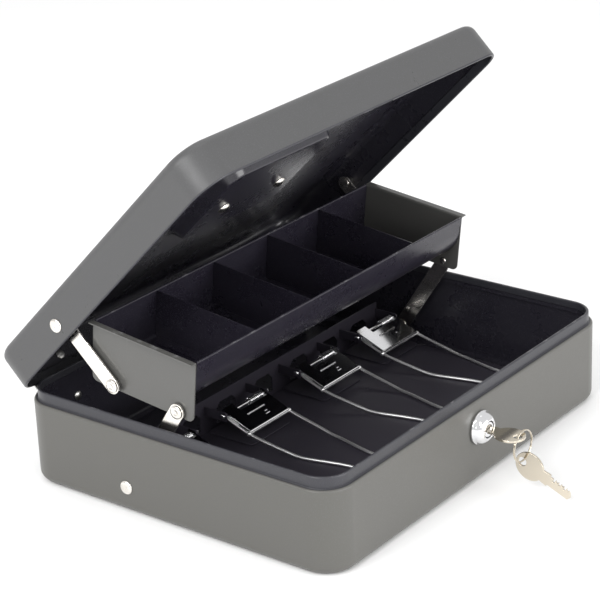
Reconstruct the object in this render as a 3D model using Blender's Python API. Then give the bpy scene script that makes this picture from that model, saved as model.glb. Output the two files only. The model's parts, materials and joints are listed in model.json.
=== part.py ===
"""Locking steel cash box with a cantilever coin tray, at rest with its lid part open.

Metres, +Z up. The origin is the middle of the underside, the front faces -Y. Each moving
piece hangs on an empty that stands on its joint's axis. The lid is modelled closed and its
empty opens it.
"""

import math

import bmesh
import bpy
from mathutils import Matrix, Vector

# Driving dimensions
WIDTH, DEPTH = 0.300, 0.238
SHEET = 0.0010
TRAY_SHEET = 0.0008
GAP = 0.0003
CORNER = 0.020
EDGE_ROUND = 0.006
STEP_Z, RIM_Z = 0.0545, 0.0620
BAND_INSET, HEM_THICK = 0.0026, 0.0020
LID_TOP_Z = 0.0814
CORNER_STEPS, EDGE_STEPS = 6, 3

# Handle well in the top of the lid
WELL_HALF_X, WELL_HALF_Y, WELL_Y = 0.052, 0.038, -0.010
WELL_DEPTH, WELL_CORNER, WELL_SLOPE = 0.008, 0.012, 0.003
POST_X, POST_Y, POST_RADIUS = 0.028, -0.003, 0.0042
HANDLE_RADIUS, HANDLE_HALF_X, HANDLE_REACH = 0.0022, 0.040, 0.031
HANDLE_HEIGHT, HANDLE_CORNER, HANDLE_END_X = 0.0034, 0.007, 0.0225
POST_ABOVE, POST_CHAMFER, STUD_RADIUS, STUD_TALL = 0.0042, 0.0008, 0.0045, 0.0030

# Side linkage, as (y, z)
LID_OPEN = math.radians(45.5)
TRAY_TILT = math.radians(6.5)
HINGE = Vector((0.1215, 0.0495))
BASE_PIVOT = Vector((0.0355, 0.0170))
TRAY_FRONT_PIVOT = Vector((-0.0010, 0.0730))
TRAY_PIVOT_SPACING = 0.0485
LID_PIVOT_CLOSED = Vector((0.0499, 0.0656))
LOWER_LINK_X, UPPER_LINK_X = 0.1403, 0.1421
LINK_THICK, LINK_WIDE, LINK_HEAD_TALL = 0.0015, 0.0105, 0.0009
SHANK_RADIUS, HEAD_RADIUS, HEAD_THIN = 0.0022, 0.0042, 0.0005
COLLAR_WIDER, WALL_HEAD_TALL = 0.0013, 0.0014
OPEN_PIVOT_CLEARANCE = 0.0008

# Hinges on the back wall
HINGE_X, LEAF_WIDE, LEAF_TALL, LEAF_OVERRUN = 0.112, 0.040, 0.017, 0.005
LEAF_RIVET_DOME, BASE_RIVET_LOWER, LID_RIVET_HIGHER = 0.0012, 0.0035, 0.0075
KNUCKLE_CLEAR = 0.0029
BARREL_RADIUS, PIN_RADIUS = 0.0022, 0.0009
LEAF_RIVET_X, LEAF_RIVET_RADIUS, LEAF_HEAD_RADIUS = 0.011, 0.0015, 0.0032

# Coin tray: its frame is at the front pivot, along the rim and up from it
TRAY_DEPTH, TRAY_PIVOT_IN, TRAY_PIVOT_DOWN = 0.078, 0.0108, 0.036
TROUGH_DOWN, TROUGH_LIP, TROUGH_SCOOP = 0.0326, 0.010, 0.022
END_PLATE_X, END_PLATE_TALL, FLANGE_OUT = 0.1385, 0.040, 0.1439
DIVIDERS = 4
DIVIDER_FLANGE = 0.008

# Bill insert and its four clips
INSERT_HALF_X, INSERT_TOP, INSERT_FRONT, INSERT_REAR = 0.1325, 0.010, -0.112, 0.0512
PARTITION_Y, PARTITION_TOP = 0.052, 0.033
WINDOW_WIDE, WINDOW_LOW, WINDOW_HIGH = 0.020, 0.012, 0.026
CLIP_CENTRES = (-0.106, -0.035, 0.042, 0.110)
CLIP_WIDE = 0.0405
AXLE_Y, AXLE_Z, AXLE_RADIUS = 0.036, 0.0260, 0.0013
AXLE_CAP_WIDER, AXLE_CAP_LONG, AXLE_OUT = 0.0006, 0.0010, 0.0022
LUG_FRONT, LUG_LOW, LUG_TOP = 0.0335, 0.0225, 0.0285
WINDOW_CHOP = 0.004
PLATE_FRONT, PLATE_REAR = Vector((0.0165, 0.0202)), Vector((0.0385, 0.0289))
NOTCH_LEFT, NOTCH_RIGHT, NOTCH_FRONT = -0.0095, 0.0180, 0.0315
SPRING_X, SPRING_HALF_X = 0.0102, 0.0068
SPRING_RADIUS, SPRING_TURNS, SPRING_GROOVE = 0.0029, 4, 0.0005
BALE_RADIUS, BALE_NOSE = 0.0010, -0.105

# Lock, key, ring and spare key
LOCK_Z = 0.0363
STRIKE_LEFT, STRIKE_RIGHT, STRIKE_TOP = 0.0055, 0.0235, 0.0745
STRIKE_SHELF, STRIKE_ABOVE_RIM, STRIKE_BEND = 0.0105, 0.0014, 0.0015
BEZEL_RADIUS, BEZEL_OUT, LOCK_BODY_RADIUS, PLUG_RADIUS = 0.0110, 0.0070, 0.0092, 0.0050
LOCK_BODY_IN, LOCK_NUT_WIDER, LOCK_NUT_THICK = 0.0095, 0.0030, 0.0030
CAM_REACH, CAM_WIDE, CAM_THICK, CAM_HOOK = 0.0315, 0.0080, 0.0015, 0.0080
KEY_THICK, BLADE_HALF, KEY_DEEP = 0.0014, 0.0032, 0.0165
BOW_LONG, BOW_WIDE, BOW_MIDDLE_Y = 0.020, 0.018, -0.1405
EYE_RADIUS, EYE_OUT = 0.0029, 0.0055
RING_RADIUS, RING_WIRE = 0.0103, 0.00075
RING_CENTRE = Vector((0.0060, -0.1460, 0.0283))
SPARE_LONG, SPARE_SHOULDER = 0.0367, 0.0200
SPARE_DROP = math.radians(23.6)

STEEL_LAYERS = {
    "black_paint": ((0.030, 0.029, 0.030, 1), 0.34, 0.30),
    "nickel": ((0.72, 0.69, 0.64, 1), 0.28, 1.0),
    "chrome": ((0.80, 0.80, 0.81, 1), 0.14, 1.0),
    "zinc": ((0.55, 0.54, 0.52, 1), 0.38, 1.0),
    "key_nickel": ((0.66, 0.60, 0.50, 1), 0.26, 1.0),
}


def clear_scene():
    for old in list(bpy.data.objects):
        bpy.data.objects.remove(old, do_unlink=True)


def finish_of(name, kind):
    """A Principled material of its own for one sub-part."""
    colour, roughness, metallic = STEEL_LAYERS[kind]
    material = bpy.data.materials.new(name + "_" + kind)
    material.use_nodes = True
    shader = material.node_tree.nodes["Principled BSDF"]
    shader.inputs["Base Color"].default_value = colour
    shader.inputs["Roughness"].default_value = roughness
    shader.inputs["Metallic"].default_value = metallic
    material.diffuse_color = colour
    return material


def place(obj, kind, parent):
    bpy.context.scene.collection.objects.link(obj)
    obj.parent = parent
    if kind is None:
        obj.hide_render = True
        obj.display_type = "WIRE"
    else:
        obj.data.materials.append(finish_of(obj.name, kind))
    return obj


def solid(name, bm, kind=None, parent=None):
    """An object from a bmesh of closed shapes. With no kind it is a cutter or a helper."""
    bmesh.ops.remove_doubles(bm, verts=bm.verts, dist=1e-7)
    bmesh.ops.recalc_face_normals(bm, faces=bm.faces)
    mesh = bpy.data.meshes.new(name)
    bm.to_mesh(mesh)
    bm.free()
    mesh.shade_smooth()
    mesh.set_sharp_from_angle(angle=math.radians(35))
    return place(bpy.data.objects.new(name, mesh), kind, parent)


def empty(name, location, tilt=0.0, parent=None):
    """A joint's axis: tilt turns what hangs on it about +X."""
    axis = bpy.data.objects.new(name, None)
    bpy.context.scene.collection.objects.link(axis)
    axis.location = location
    axis.rotation_euler = (tilt, 0, 0)
    axis.parent = parent
    return axis


def combine(obj, other, operation):
    modifier = obj.modifiers.new(operation.title() + "_" + other.name, "BOOLEAN")
    modifier.operation = operation
    modifier.object = other


def cut(obj, cutter):
    combine(obj, cutter, "DIFFERENCE")


def join(obj, other):
    combine(obj, other, "UNION")


def arc(centre, radius, start, end, steps):
    """Points of an arc in a plane, its angles in degrees."""
    turns = [math.radians(start + (end - start) * i / steps) for i in range(steps + 1)]
    return [Vector((centre[0] + radius * math.cos(t), centre[1] + radius * math.sin(t))) for t in turns]


def prism(bm, outline, axis, low, high):
    """An outline in the plane across an axis, extruded along it."""
    def point(pair):
        a, b = pair
        return {"X": (low, a, b), "Y": (a, low, b), "Z": (a, b, low)}[axis]

    along = {"X": Vector((1, 0, 0)), "Y": Vector((0, 1, 0)), "Z": Vector((0, 0, 1))}[axis]
    face = bm.faces.new([bm.verts.new(point(pair)) for pair in outline])
    made = bmesh.ops.extrude_face_region(bm, geom=[face])
    moved = [item for item in made["geom"] if isinstance(item, bmesh.types.BMVert)]
    bmesh.ops.translate(bm, vec=along * (high - low), verts=moved)


def box(bm, low, high):
    outline = [(low[0], low[1]), (high[0], low[1]), (high[0], high[1]), (low[0], high[1])]
    prism(bm, outline, "Z", low[2], high[2])


def turned(bm, profile, axis, centre, steps=20):
    """A profile of (place along the axis, radius) spun about an axis through a centre."""
    rows = [bm.verts.new((along, radius, 0)) for along, radius in profile]
    edges = [bm.edges.new(pair) for pair in zip(rows, rows[1:])]
    bmesh.ops.spin(
        bm, geom=rows + edges, cent=(0, 0, 0), axis=(1, 0, 0), angle=math.tau, steps=steps
    )
    bmesh.ops.remove_doubles(bm, verts=bm.verts, dist=1e-7)
    turn = {
        "X": Matrix.Identity(3),
        "Y": Matrix.Rotation(math.pi / 2, 3, "Z"),
        "Z": Matrix.Rotation(-math.pi / 2, 3, "Y"),
    }[axis]
    bmesh.ops.transform(bm, matrix=Matrix.Translation(centre) @ turn.to_4x4(), verts=bm.verts)


def rod_profile(low, high, radius):
    return [(low, 0), (low, radius), (high, radius), (high, 0)]


def tube_profile(low, high, inner, outer):
    return [(low, inner), (low, outer), (high, outer), (high, inner), (low, inner)]


def rod(name, axis, centre, low, high, radius, kind=None, parent=None, steps=12):
    bm = bmesh.new()
    turned(bm, rod_profile(low, high, radius), axis, centre, steps)
    return solid(name, bm, kind, parent)


def ribbon(points, thick):
    """The outline of a bent sheet whose middle line runs through the points."""
    normals = []
    for i in range(len(points)):
        before = points[max(i - 1, 0)]
        after = points[min(i + 1, len(points) - 1)]
        here = points[i]
        first = (here - before).normalized() if i else (after - here).normalized()
        second = (after - here).normalized() if i < len(points) - 1 else first
        middle = (first + second).normalized()
        stretch = 1 / max(middle.dot(first), 0.5)
        normals.append(Vector((-middle.y, middle.x)) * stretch * thick / 2)
    left = [p + n for p, n in zip(points, normals)]
    right = [p - n for p, n in zip(points, normals)]
    return left + right[::-1]


def wire(name, points, radius, kind, parent, closed=False):
    """A round wire through its points."""
    curve = bpy.data.curves.new(name, "CURVE")
    curve.dimensions = "3D"
    curve.bevel_depth = radius
    curve.bevel_resolution = 1
    curve.use_fill_caps = True
    spline = curve.splines.new("POLY")
    spline.points.add(len(points) - 1)
    for slot, point in zip(spline.points, points):
        slot.co = (*point, 1)
    spline.use_cyclic_u = closed
    return place(bpy.data.objects.new(name, curve), kind, parent)


def loop(bm, half_x, half_y, radius, z, centre_y=0.0):
    """The vertices of a rounded rectangle."""
    signs = ((1, 1), (-1, 1), (-1, -1), (1, -1))
    verts = []
    for corner, (sx, sy) in enumerate(signs):
        middle = (sx * (half_x - radius), centre_y + sy * (half_y - radius))
        for x, y in arc(middle, radius, 90 * corner, 90 * corner + 90, CORNER_STEPS):
            verts.append(bm.verts.new((x, y, z)))
    return verts


def skin(bm, rows):
    """Walls between each row of vertices and the next, and a lid on the last one."""
    for one, two in zip(rows, rows[1:]):
        for i in range(len(one)):
            bm.faces.new((one[i - 1], one[i], two[i], two[i - 1]))
    bm.faces.new(rows[-1])


def box_row(bm, inset, z):
    """A row round the box, inset from its outline."""
    return loop(bm, WIDTH / 2 - inset, DEPTH / 2 - inset, CORNER - inset, z)


def well_row(bm, inset, z):
    """A row round the handle well."""
    return loop(bm, WELL_HALF_X - inset, WELL_HALF_Y - inset, WELL_CORNER - inset, z, WELL_Y)


def base_profile():
    """From the middle of the underside out, up, over the rim and back down inside."""
    outer = [(EDGE_ROUND - x, EDGE_ROUND - z) for x, z in arc((0, 0), EDGE_ROUND, 90, 0, EDGE_STEPS)]
    inner_round = EDGE_ROUND - SHEET
    inner = [
        (EDGE_ROUND - x, EDGE_ROUND - z)
        for x, z in arc((0, 0), inner_round, 0, 90, EDGE_STEPS)
    ]
    hem = BAND_INSET + HEM_THICK
    crown = HEM_THICK / 2
    rim = [(hem - crown - x, RIM_Z - crown + z) for x, z in arc((0, 0), crown, 0, 180, 4)]
    shoulder = [(0.0, STEP_Z - 0.0012), (0.0012, STEP_Z), (BAND_INSET, STEP_Z)]
    inside = [
        (hem, RIM_Z - 0.0045),
        (BAND_INSET + SHEET, RIM_Z - 0.0048),
        (BAND_INSET + SHEET, STEP_Z - SHEET),
        (SHEET, STEP_Z - SHEET - 0.0008),
    ]
    return outer + shoulder + rim + inside + inner


def hole_along(name, axis, centre, half_long, radius, parent=None):
    return rod(name, axis, centre, -half_long, half_long, radius, parent=parent)


def base_shell():
    bm = bmesh.new()
    rows = [box_row(bm, inset, z) for inset, z in base_profile()]
    skin(bm, rows)
    bm.faces.new(rows[0])
    base = solid("base_shell", bm, "black_paint")
    side = Vector((0, *BASE_PIVOT))
    cut(base, hole_along("base_pivot_holes", "X", side, WIDTH, SHANK_RADIUS + GAP))
    for sign in (-1, 1):
        for x in leaf_rivet_places(sign):
            place_of = Vector((x, DEPTH / 2, HINGE.y - LEAF_TALL / 2 - 0.0035))
            name = "leaf_rivet_hole_%d" % round(x * 1000)
            cut(base, hole_along(name, "Y", place_of, 0.004, LEAF_RIVET_RADIUS + GAP))
    front = Vector((0, -DEPTH / 2, LOCK_Z))
    cut(base, hole_along("lock_hole", "Y", front, 0.004, LOCK_BODY_RADIUS + GAP))


def leaf_rivet_places(sign):
    return [sign * HINGE_X + step * LEAF_RIVET_X for step in (-1, 1)]


def lid_rows():
    """The rows of the lid from the rim: the outer skin inwards, then the inner skin."""
    low = STEP_Z + GAP
    crown = HEM_THICK / 2
    round_in = EDGE_ROUND - SHEET
    hem = [(crown - x, low + crown - z) for x, z in arc((0, 0), crown, 180, 0, 4)]
    outer = [
        (EDGE_ROUND - x, LID_TOP_Z - EDGE_ROUND + z)
        for x, z in arc((0, 0), EDGE_ROUND, 0, 90, EDGE_STEPS)
    ]
    inner = [
        (EDGE_ROUND - x, LID_TOP_Z - EDGE_ROUND + z)
        for x, z in arc((0, 0), round_in, 90, 0, EDGE_STEPS)
    ]
    return_hem = [(SHEET, low + 0.0062), (HEM_THICK, low + 0.0058)]
    return outer, inner, return_hem + hem


def lid_shell(lid):
    """The outer skin runs in from the rim, the inner skin back out to it."""
    outer, inner, rim = lid_rows()
    floor = LID_TOP_Z - WELL_DEPTH
    bm = bmesh.new()
    skirt = [box_row(bm, inset, z) for inset, z in inner + rim + outer]
    well = [well_row(bm, 0.0, LID_TOP_Z), well_row(bm, WELL_SLOPE, floor)]
    skin(bm, skirt + well)
    under = [well_row(bm, -SHEET, LID_TOP_Z - SHEET), well_row(bm, WELL_SLOPE - SHEET, floor - SHEET)]
    skin(bm, skirt[:1] + under)
    bmesh.ops.translate(bm, vec=(0, -HINGE.x, -HINGE.y), verts=bm.verts)
    body = solid("lid_shell", bm, "black_paint", lid)
    pivot = Vector((0, *(LID_PIVOT_CLOSED - HINGE)))
    cut(body, hole_along("lid_pivot_holes", "X", pivot, WIDTH, SHANK_RADIUS + GAP, lid))
    for sign in (-1, 1):
        for x in leaf_rivet_places(sign):
            rivet = Vector((x, DEPTH / 2 - HINGE.x, LEAF_TALL / 2 + 0.0075))
            name = "lid_leaf_rivet_hole_%d" % round(x * 1000)
            cut(body, hole_along(name, "Y", rivet, 0.004, LEAF_RIVET_RADIUS + GAP, lid))
        post = Vector((sign * POST_X, POST_Y - HINGE.x, floor - HINGE.y))
        cut(body, hole_along("post_hole_%d" % sign, "Z", post, 0.004, SHANK_RADIUS + GAP, lid))
    bm = bmesh.new()
    for sign in (-1, 1):
        ends = sorted((sign * 0.005, sign * 0.025))
        front = -DEPTH / 2 - HINGE.x
        low = (ends[0], front + SHEET - 0.0002, STEP_Z - HINGE.y - 0.001)
        box(bm, low, (ends[1], front + SHEET + 0.0005, STEP_Z - HINGE.y + 0.0035))
    cut(body, solid("hem_slots", bm, None, lid))


def hinge_side(name, sign, middle, parent, fixed):
    """One leaf with its knuckles and its two rivets, whose heads sit inside the wall."""
    wall = DEPTH / 2 - HINGE.x + GAP
    up = -1 if fixed else 1
    lo, hi = sorted((up * BARREL_RADIUS * 0.6, up * (LEAF_TALL + LEAF_OVERRUN)))
    bm = bmesh.new()
    box(bm, (middle - LEAF_WIDE / 2, wall, lo), (middle + LEAF_WIDE / 2, wall + SHEET, hi))
    leaf = solid(name, bm, "zinc", parent)
    third = LEAF_WIDE / 3
    spans = [(-1.5, -0.5), (0.5, 1.5)] if fixed else [(-0.5, 0.5)]
    for i, (one, two) in enumerate(spans):
        bm = bmesh.new()
        low, high = middle + one * third + GAP, middle + two * third - GAP
        turned(bm, rod_profile(low, high, BARREL_RADIUS), "X", Vector((0, 0, 0)), 14)
        join(leaf, solid("%s_knuckle_%d" % (name, i), bm, None, parent))
    rivet_z = up * LEAF_TALL / 2 + (-BASE_RIVET_LOWER if fixed else LID_RIVET_HIGHER)
    inside = -SHEET - GAP
    for x in leaf_rivet_places(sign):
        bm = bmesh.new()
        face = DEPTH / 2 - HINGE.x
        profile = [
            (inside - LEAF_RIVET_DOME, 0),
            (inside - LEAF_RIVET_DOME, LEAF_HEAD_RADIUS * 0.6),
            (inside - GAP, LEAF_HEAD_RADIUS),
            (inside, LEAF_HEAD_RADIUS),
            (inside, LEAF_RIVET_RADIUS),
            (GAP + SHEET / 2, LEAF_RIVET_RADIUS),
            (GAP + SHEET / 2, 0),
        ]
        turned(bm, profile, "Y", Vector((x, face, rivet_z)), 12)
        join(leaf, solid("%s_rivet_%d" % (name, round(x * 1000)), bm, None, parent))
    bore = Vector((middle, 0, 0))
    cut(leaf, hole_along(name + "_bore", "X", bore, LEAF_WIDE, PIN_RADIUS + GAP, parent))
    gaps = [(-0.5, 0.5)] if fixed else [(-1.5, -0.5), (0.5, 1.5)]
    bm = bmesh.new()
    for one, two in gaps:
        low, high = middle + one * third - GAP * 0.5, middle + two * third + GAP * 0.5
        box(bm, (low, -KNUCKLE_CLEAR, -KNUCKLE_CLEAR), (high, KNUCKLE_CLEAR, KNUCKLE_CLEAR))
    cut(leaf, solid(name + "_knuckle_gaps", bm, None, parent))


def hinges(root, lid):
    for side, sign in (("left", -1), ("right", 1)):
        middle = sign * HINGE_X
        hinge_side("hinge_leaf_base_" + side, sign, middle, root, True)
        hinge_side("hinge_leaf_lid_" + side, sign, middle, lid, False)
        bm = bmesh.new()
        half = LEAF_WIDE / 2
        profile = [
            (-half - 0.0012, 0),
            (-half - 0.0012, BARREL_RADIUS * 0.7),
            (-half - GAP, BARREL_RADIUS * 0.7),
            (-half - GAP, PIN_RADIUS),
            (half + 0.0010, PIN_RADIUS),
            (half + 0.0010, 0),
        ]
        turned(bm, profile, "X", Vector((middle, 0, 0)), 12)
        solid("hinge_pin_" + side, bm, "zinc", root)


def wall_rivet(name, sign, pivot, link_x, parent):
    """A shouldered rivet: flat head outside the wall, collar inside, link and thin head."""
    out = WIDTH / 2
    link_far = link_x + LINK_THICK
    inner_face = link_x - 0.0002
    inner_head, collar = HEAD_RADIUS * 0.9, SHANK_RADIUS + COLLAR_WIDER
    profile = [
        (inner_face - HEAD_THIN, 0),
        (inner_face - HEAD_THIN, inner_head),
        (inner_face, inner_head),
        (inner_face, SHANK_RADIUS),
        (link_far + GAP, SHANK_RADIUS),
        (link_far + GAP, collar),
        (out - SHEET - GAP, collar),
        (out - SHEET - GAP, SHANK_RADIUS),
        (out + GAP, SHANK_RADIUS),
        (out + GAP, HEAD_RADIUS + 0.0003),
        (out + WALL_HEAD_TALL * 0.65, HEAD_RADIUS),
        (out + WALL_HEAD_TALL, HEAD_RADIUS * 0.8),
        (out + WALL_HEAD_TALL, 0),
    ]
    bm = bmesh.new()
    turned(bm, [(sign * x, r) for x, r in profile], "X", Vector((0, *pivot)), 12)
    solid(name, bm, "nickel", parent)


def link(name, sign, length, link_x, holes, parent):
    """A flat bar with round ends, along the local +Y axis from its first pivot."""
    half = LINK_WIDE / 2
    outline = arc((length, 0), half, -90, 90, 8) + arc((0, 0), half, 90, 270, 8)
    bm = bmesh.new()
    low, high = sorted((sign * link_x, sign * (link_x + LINK_THICK)))
    prism(bm, outline, "X", low, high)
    bar = solid(name, bm, "nickel", parent)
    for i, (along, radius) in enumerate(holes):
        place_of = Vector((sign * link_x, along, 0))
        cut(bar, hole_along("%s_hole_%d" % (name, i), "X", place_of, 0.006, radius, parent))


def trough_line(inset=0.0):
    """The section of the trough from its front lip to its rear rim, moved in by an inset."""
    front = inset - TRAY_PIVOT_IN
    rear = TRAY_DEPTH - TRAY_PIVOT_IN - inset
    floor = TRAY_PIVOT_DOWN - TROUGH_DOWN + inset
    top = TRAY_PIVOT_DOWN
    scoop = TROUGH_SCOOP - inset
    bend = 0.003 - min(inset, 0.002)
    points = [Vector((front, top))]
    points += arc((front + scoop, floor + scoop), scoop, 180, 270, 8)
    points += arc((rear - bend, floor + bend), bend, 270, 360, 3)
    points.append(Vector((rear, top)))
    return points


def tray_pieces(tray):
    half = END_PLATE_X - GAP
    bm = bmesh.new()
    prism(bm, ribbon(trough_line(TRAY_SHEET / 2), TRAY_SHEET), "X", -half, half)
    solid("tray_trough", bm, "black_paint", tray)
    for side, sign in (("left", -1), ("right", 1)):
        end_plate("tray_end_plate_" + side, sign, tray)
        tray_rivet("tray_rivet_front_" + side, sign, 0.0, LOWER_LINK_X, tray)
        tray_rivet("tray_rivet_rear_" + side, sign, TRAY_PIVOT_SPACING, UPPER_LINK_X, tray)
    pitch = 2 * half / (DIVIDERS + 1)
    for number in range(DIVIDERS):
        divider("coin_divider_%d" % (number + 1), -half + pitch * (number + 1), tray)


def end_plate(name, sign, tray):
    """A flat end with its top edge turned outwards."""
    front, rear = -TRAY_PIVOT_IN - 0.0004, TRAY_DEPTH - TRAY_PIVOT_IN + 0.0004
    top, low = TRAY_PIVOT_DOWN, TRAY_PIVOT_DOWN - END_PLATE_TALL
    corner = 0.004
    outline = [(front, top), *arc((front + corner, low + corner), corner, 180, 270, 4)]
    outline += [*arc((rear - corner, low + corner), corner, 270, 360, 4), (rear, top)]
    bm = bmesh.new()
    ends = sorted((sign * END_PLATE_X, sign * (END_PLATE_X + TRAY_SHEET)))
    prism(bm, outline, "X", *ends)
    plate = solid(name, bm, "black_paint", tray)
    bm = bmesh.new()
    ends = sorted((sign * (END_PLATE_X + TRAY_SHEET * 0.4), sign * FLANGE_OUT))
    box(bm, (ends[0], front + 0.0012, top - TRAY_SHEET), (ends[1], rear - 0.0012, top + 0.0001))
    join(plate, solid(name + "_flange", bm, None, tray))
    for i, along in enumerate((0.0, TRAY_PIVOT_SPACING)):
        place_of = Vector((sign * END_PLATE_X, along, 0))
        hole = hole_along("%s_hole_%d" % (name, i), "X", place_of, 0.004, SHANK_RADIUS + GAP, tray)
        cut(plate, hole)


def tray_rivet(name, sign, along, link_x, tray):
    link_far = link_x + LINK_THICK + GAP
    inner = END_PLATE_X - GAP
    profile = [
        (inner - 0.0008, 0),
        (inner - 0.0008, 0.0022),
        (inner, 0.0026),
        (inner, SHANK_RADIUS),
        (link_far, SHANK_RADIUS),
        (link_far, HEAD_RADIUS),
        (link_far + LINK_HEAD_TALL * 0.4, HEAD_RADIUS * 0.95),
        (link_far + LINK_HEAD_TALL * 0.85, HEAD_RADIUS * 0.6),
        (link_far + LINK_HEAD_TALL, 0),
    ]
    bm = bmesh.new()
    turned(bm, [(sign * x, r) for x, r in profile], "X", Vector((0, along, 0)), 12)
    solid(name, bm, "nickel", tray)


def divider(name, x, tray):
    """A wall shaped to the trough, with a foot on its left for the spot weld."""
    inset = TRAY_SHEET + GAP
    outline = trough_line(inset)
    top = TRAY_PIVOT_DOWN - 0.0006
    outline[0].y = top
    outline[-1].y = top
    bm = bmesh.new()
    prism(bm, outline, "X", x - TRAY_SHEET / 2, x + TRAY_SHEET / 2)
    wall = solid(name, bm, "black_paint", tray)
    floor = TRAY_PIVOT_DOWN - TROUGH_DOWN + inset
    front = TROUGH_SCOOP + 0.002 - TRAY_PIVOT_IN
    rear = TRAY_DEPTH - TRAY_PIVOT_IN - 0.006
    bm = bmesh.new()
    box(bm, (x - DIVIDER_FLANGE, front, floor), (x, rear, floor + TRAY_SHEET))
    join(wall, solid(name + "_foot", bm, None, tray))


def bill_insert():
    """A raised floor with its sides turned down, and the pierced wall behind the clips."""
    top = INSERT_TOP - SHEET / 2
    half = INSERT_HALF_X - SHEET / 2
    low = SHEET + GAP
    bend = 0.0015
    points = [Vector((-half, low))]
    points += arc((-half + bend, top - bend), bend, 180, 90, 3)
    points += arc((half - bend, top - bend), bend, 90, 0, 3)
    points.append(Vector((half, low)))
    bm = bmesh.new()
    prism(bm, ribbon(points, SHEET), "Y", INSERT_FRONT, INSERT_REAR)
    solid("bill_floor", bm, "black_paint")

    thick = SHEET / 2
    bm = bmesh.new()
    box(
        bm,
        (-INSERT_HALF_X, PARTITION_Y - thick, low),
        (INSERT_HALF_X, PARTITION_Y + thick, PARTITION_TOP),
    )
    wall = solid("bill_partition", bm, "black_paint")
    bm = bmesh.new()
    for x in lug_places():
        box(
            bm,
            (x - TRAY_SHEET / 2, LUG_FRONT, LUG_LOW),
            (x + TRAY_SHEET / 2, PARTITION_Y, LUG_TOP),
        )
    join(wall, solid("partition_lugs", bm))
    bm = bmesh.new()
    for x in window_places():
        half, chop = WINDOW_WIDE / 2, WINDOW_CHOP
        outline = [
            (x - half, WINDOW_LOW),
            (x + half, WINDOW_LOW),
            (x + half, WINDOW_HIGH - chop),
            (x + half - chop, WINDOW_HIGH),
            (x - half + chop, WINDOW_HIGH),
            (x - half, WINDOW_HIGH - chop),
        ]
        prism(bm, outline, "Y", PARTITION_Y - 0.003, PARTITION_Y + 0.003)
    cut(wall, solid("partition_windows", bm))
    axle = Vector((0, AXLE_Y, AXLE_Z))
    cut(wall, hole_along("lug_holes", "X", axle, WIDTH / 2, AXLE_RADIUS + GAP))


def lug_places():
    aside = CLIP_WIDE / 2 + GAP + TRAY_SHEET / 2 + 0.0002
    return [centre + sign * aside for centre in CLIP_CENTRES for sign in (-1, 1)]


def window_places():
    """One window behind each clip and one between each two clips."""
    between = [(a + b) / 2 for a, b in zip(CLIP_CENTRES, CLIP_CENTRES[1:])]
    return sorted([*CLIP_CENTRES, *between])


def clip_axle(number, centre):
    """The axle with a riveted cap on each end, and the torsion spring round its middle."""
    half = CLIP_WIDE / 2 + AXLE_OUT
    end, cap = half + AXLE_CAP_LONG, AXLE_RADIUS + AXLE_CAP_WIDER
    bm = bmesh.new()
    profile = [
        (-end, 0),
        (-end, cap),
        (-half, cap),
        (-half, AXLE_RADIUS),
        (half, AXLE_RADIUS),
        (half, cap),
        (end, cap),
        (end, 0),
    ]
    turned(bm, profile, "X", Vector((centre, AXLE_Y, AXLE_Z)), 8)
    solid("clip_axle_%d" % number, bm, "chrome")
    bm = bmesh.new()
    inner, groove = AXLE_RADIUS + GAP, SPRING_RADIUS - SPRING_GROOVE
    step = 2 * SPRING_HALF_X / SPRING_TURNS
    profile = [(-SPRING_HALF_X, inner)]
    for i in range(SPRING_TURNS):
        low = -SPRING_HALF_X + step * i
        profile += [(low, groove), (low + step / 2, SPRING_RADIUS)]
    profile += [(SPRING_HALF_X, groove), (SPRING_HALF_X, inner), (-SPRING_HALF_X, inner)]
    turned(bm, profile, "X", Vector((centre + SPRING_X, AXLE_Y, AXLE_Z)), 10)
    solid("clip_spring_%d" % number, bm, "zinc")


def clip_plate(number, axis):
    """The sloping plate with its two side ears on the axle and a notch over the spring."""
    axle = Vector((AXLE_Y, AXLE_Z))
    front, rear = PLATE_FRONT - axle, PLATE_REAR - axle
    half = CLIP_WIDE / 2
    bm = bmesh.new()
    prism(bm, ribbon([front, rear], TRAY_SHEET), "X", -half, half)
    plate = solid("clip_plate_%d" % number, bm, "chrome", axis)
    down = Vector((-(rear - front).normalized().y, (rear - front).normalized().x)) * -0.0044
    ear_front = front + (rear - front) * 0.45
    outline = [ear_front, rear, rear + down * 0.75, *arc((0, 0), 0.0026, 300, 230, 3)]
    outline.append(ear_front + down * 0.35)
    bm = bmesh.new()
    for sign in (-1, 1):
        ends = sorted((sign * half, sign * (half - TRAY_SHEET)))
        prism(bm, outline, "X", *ends)
    join(plate, solid("clip_ears_%d" % number, bm, None, axis))
    bm = bmesh.new()
    over = 0.006
    box(bm, (NOTCH_LEFT, NOTCH_FRONT - AXLE_Y, -over), (NOTCH_RIGHT, over, over))
    cut(plate, solid("clip_notch_%d" % number, bm, None, axis))
    bore = Vector((0, 0, 0))
    cut(plate, hole_along("clip_bore_%d" % number, "X", bore, CLIP_WIDE, AXLE_RADIUS + GAP, axis))


def bale_half():
    """The right half of the wire bale from its cross bar to its nose, about the clip's middle."""
    rest = INSERT_TOP + BALE_RADIUS + GAP
    points = [
        Vector((0.017, 0.0172, 0.0184)),
        Vector((0.0192, 0.0150, 0.0176)),
        Vector((0.0192, 0.0050, 0.0156)),
        Vector((0.0188, -0.0120, 0.0129)),
        Vector((0.0180, -0.0225, rest)),
        Vector((0.0152, -0.0340, rest)),
        Vector((0.0122, -0.0460, rest)),
        Vector((0.0104, -0.0560, rest)),
        Vector((0.0100, -0.0750, rest)),
    ]
    nose = 0.0098
    points += [
        Vector((x, y, rest)) for x, y in arc((0, BALE_NOSE + nose), nose, 0, -78, 5)
    ]
    return points


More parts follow.
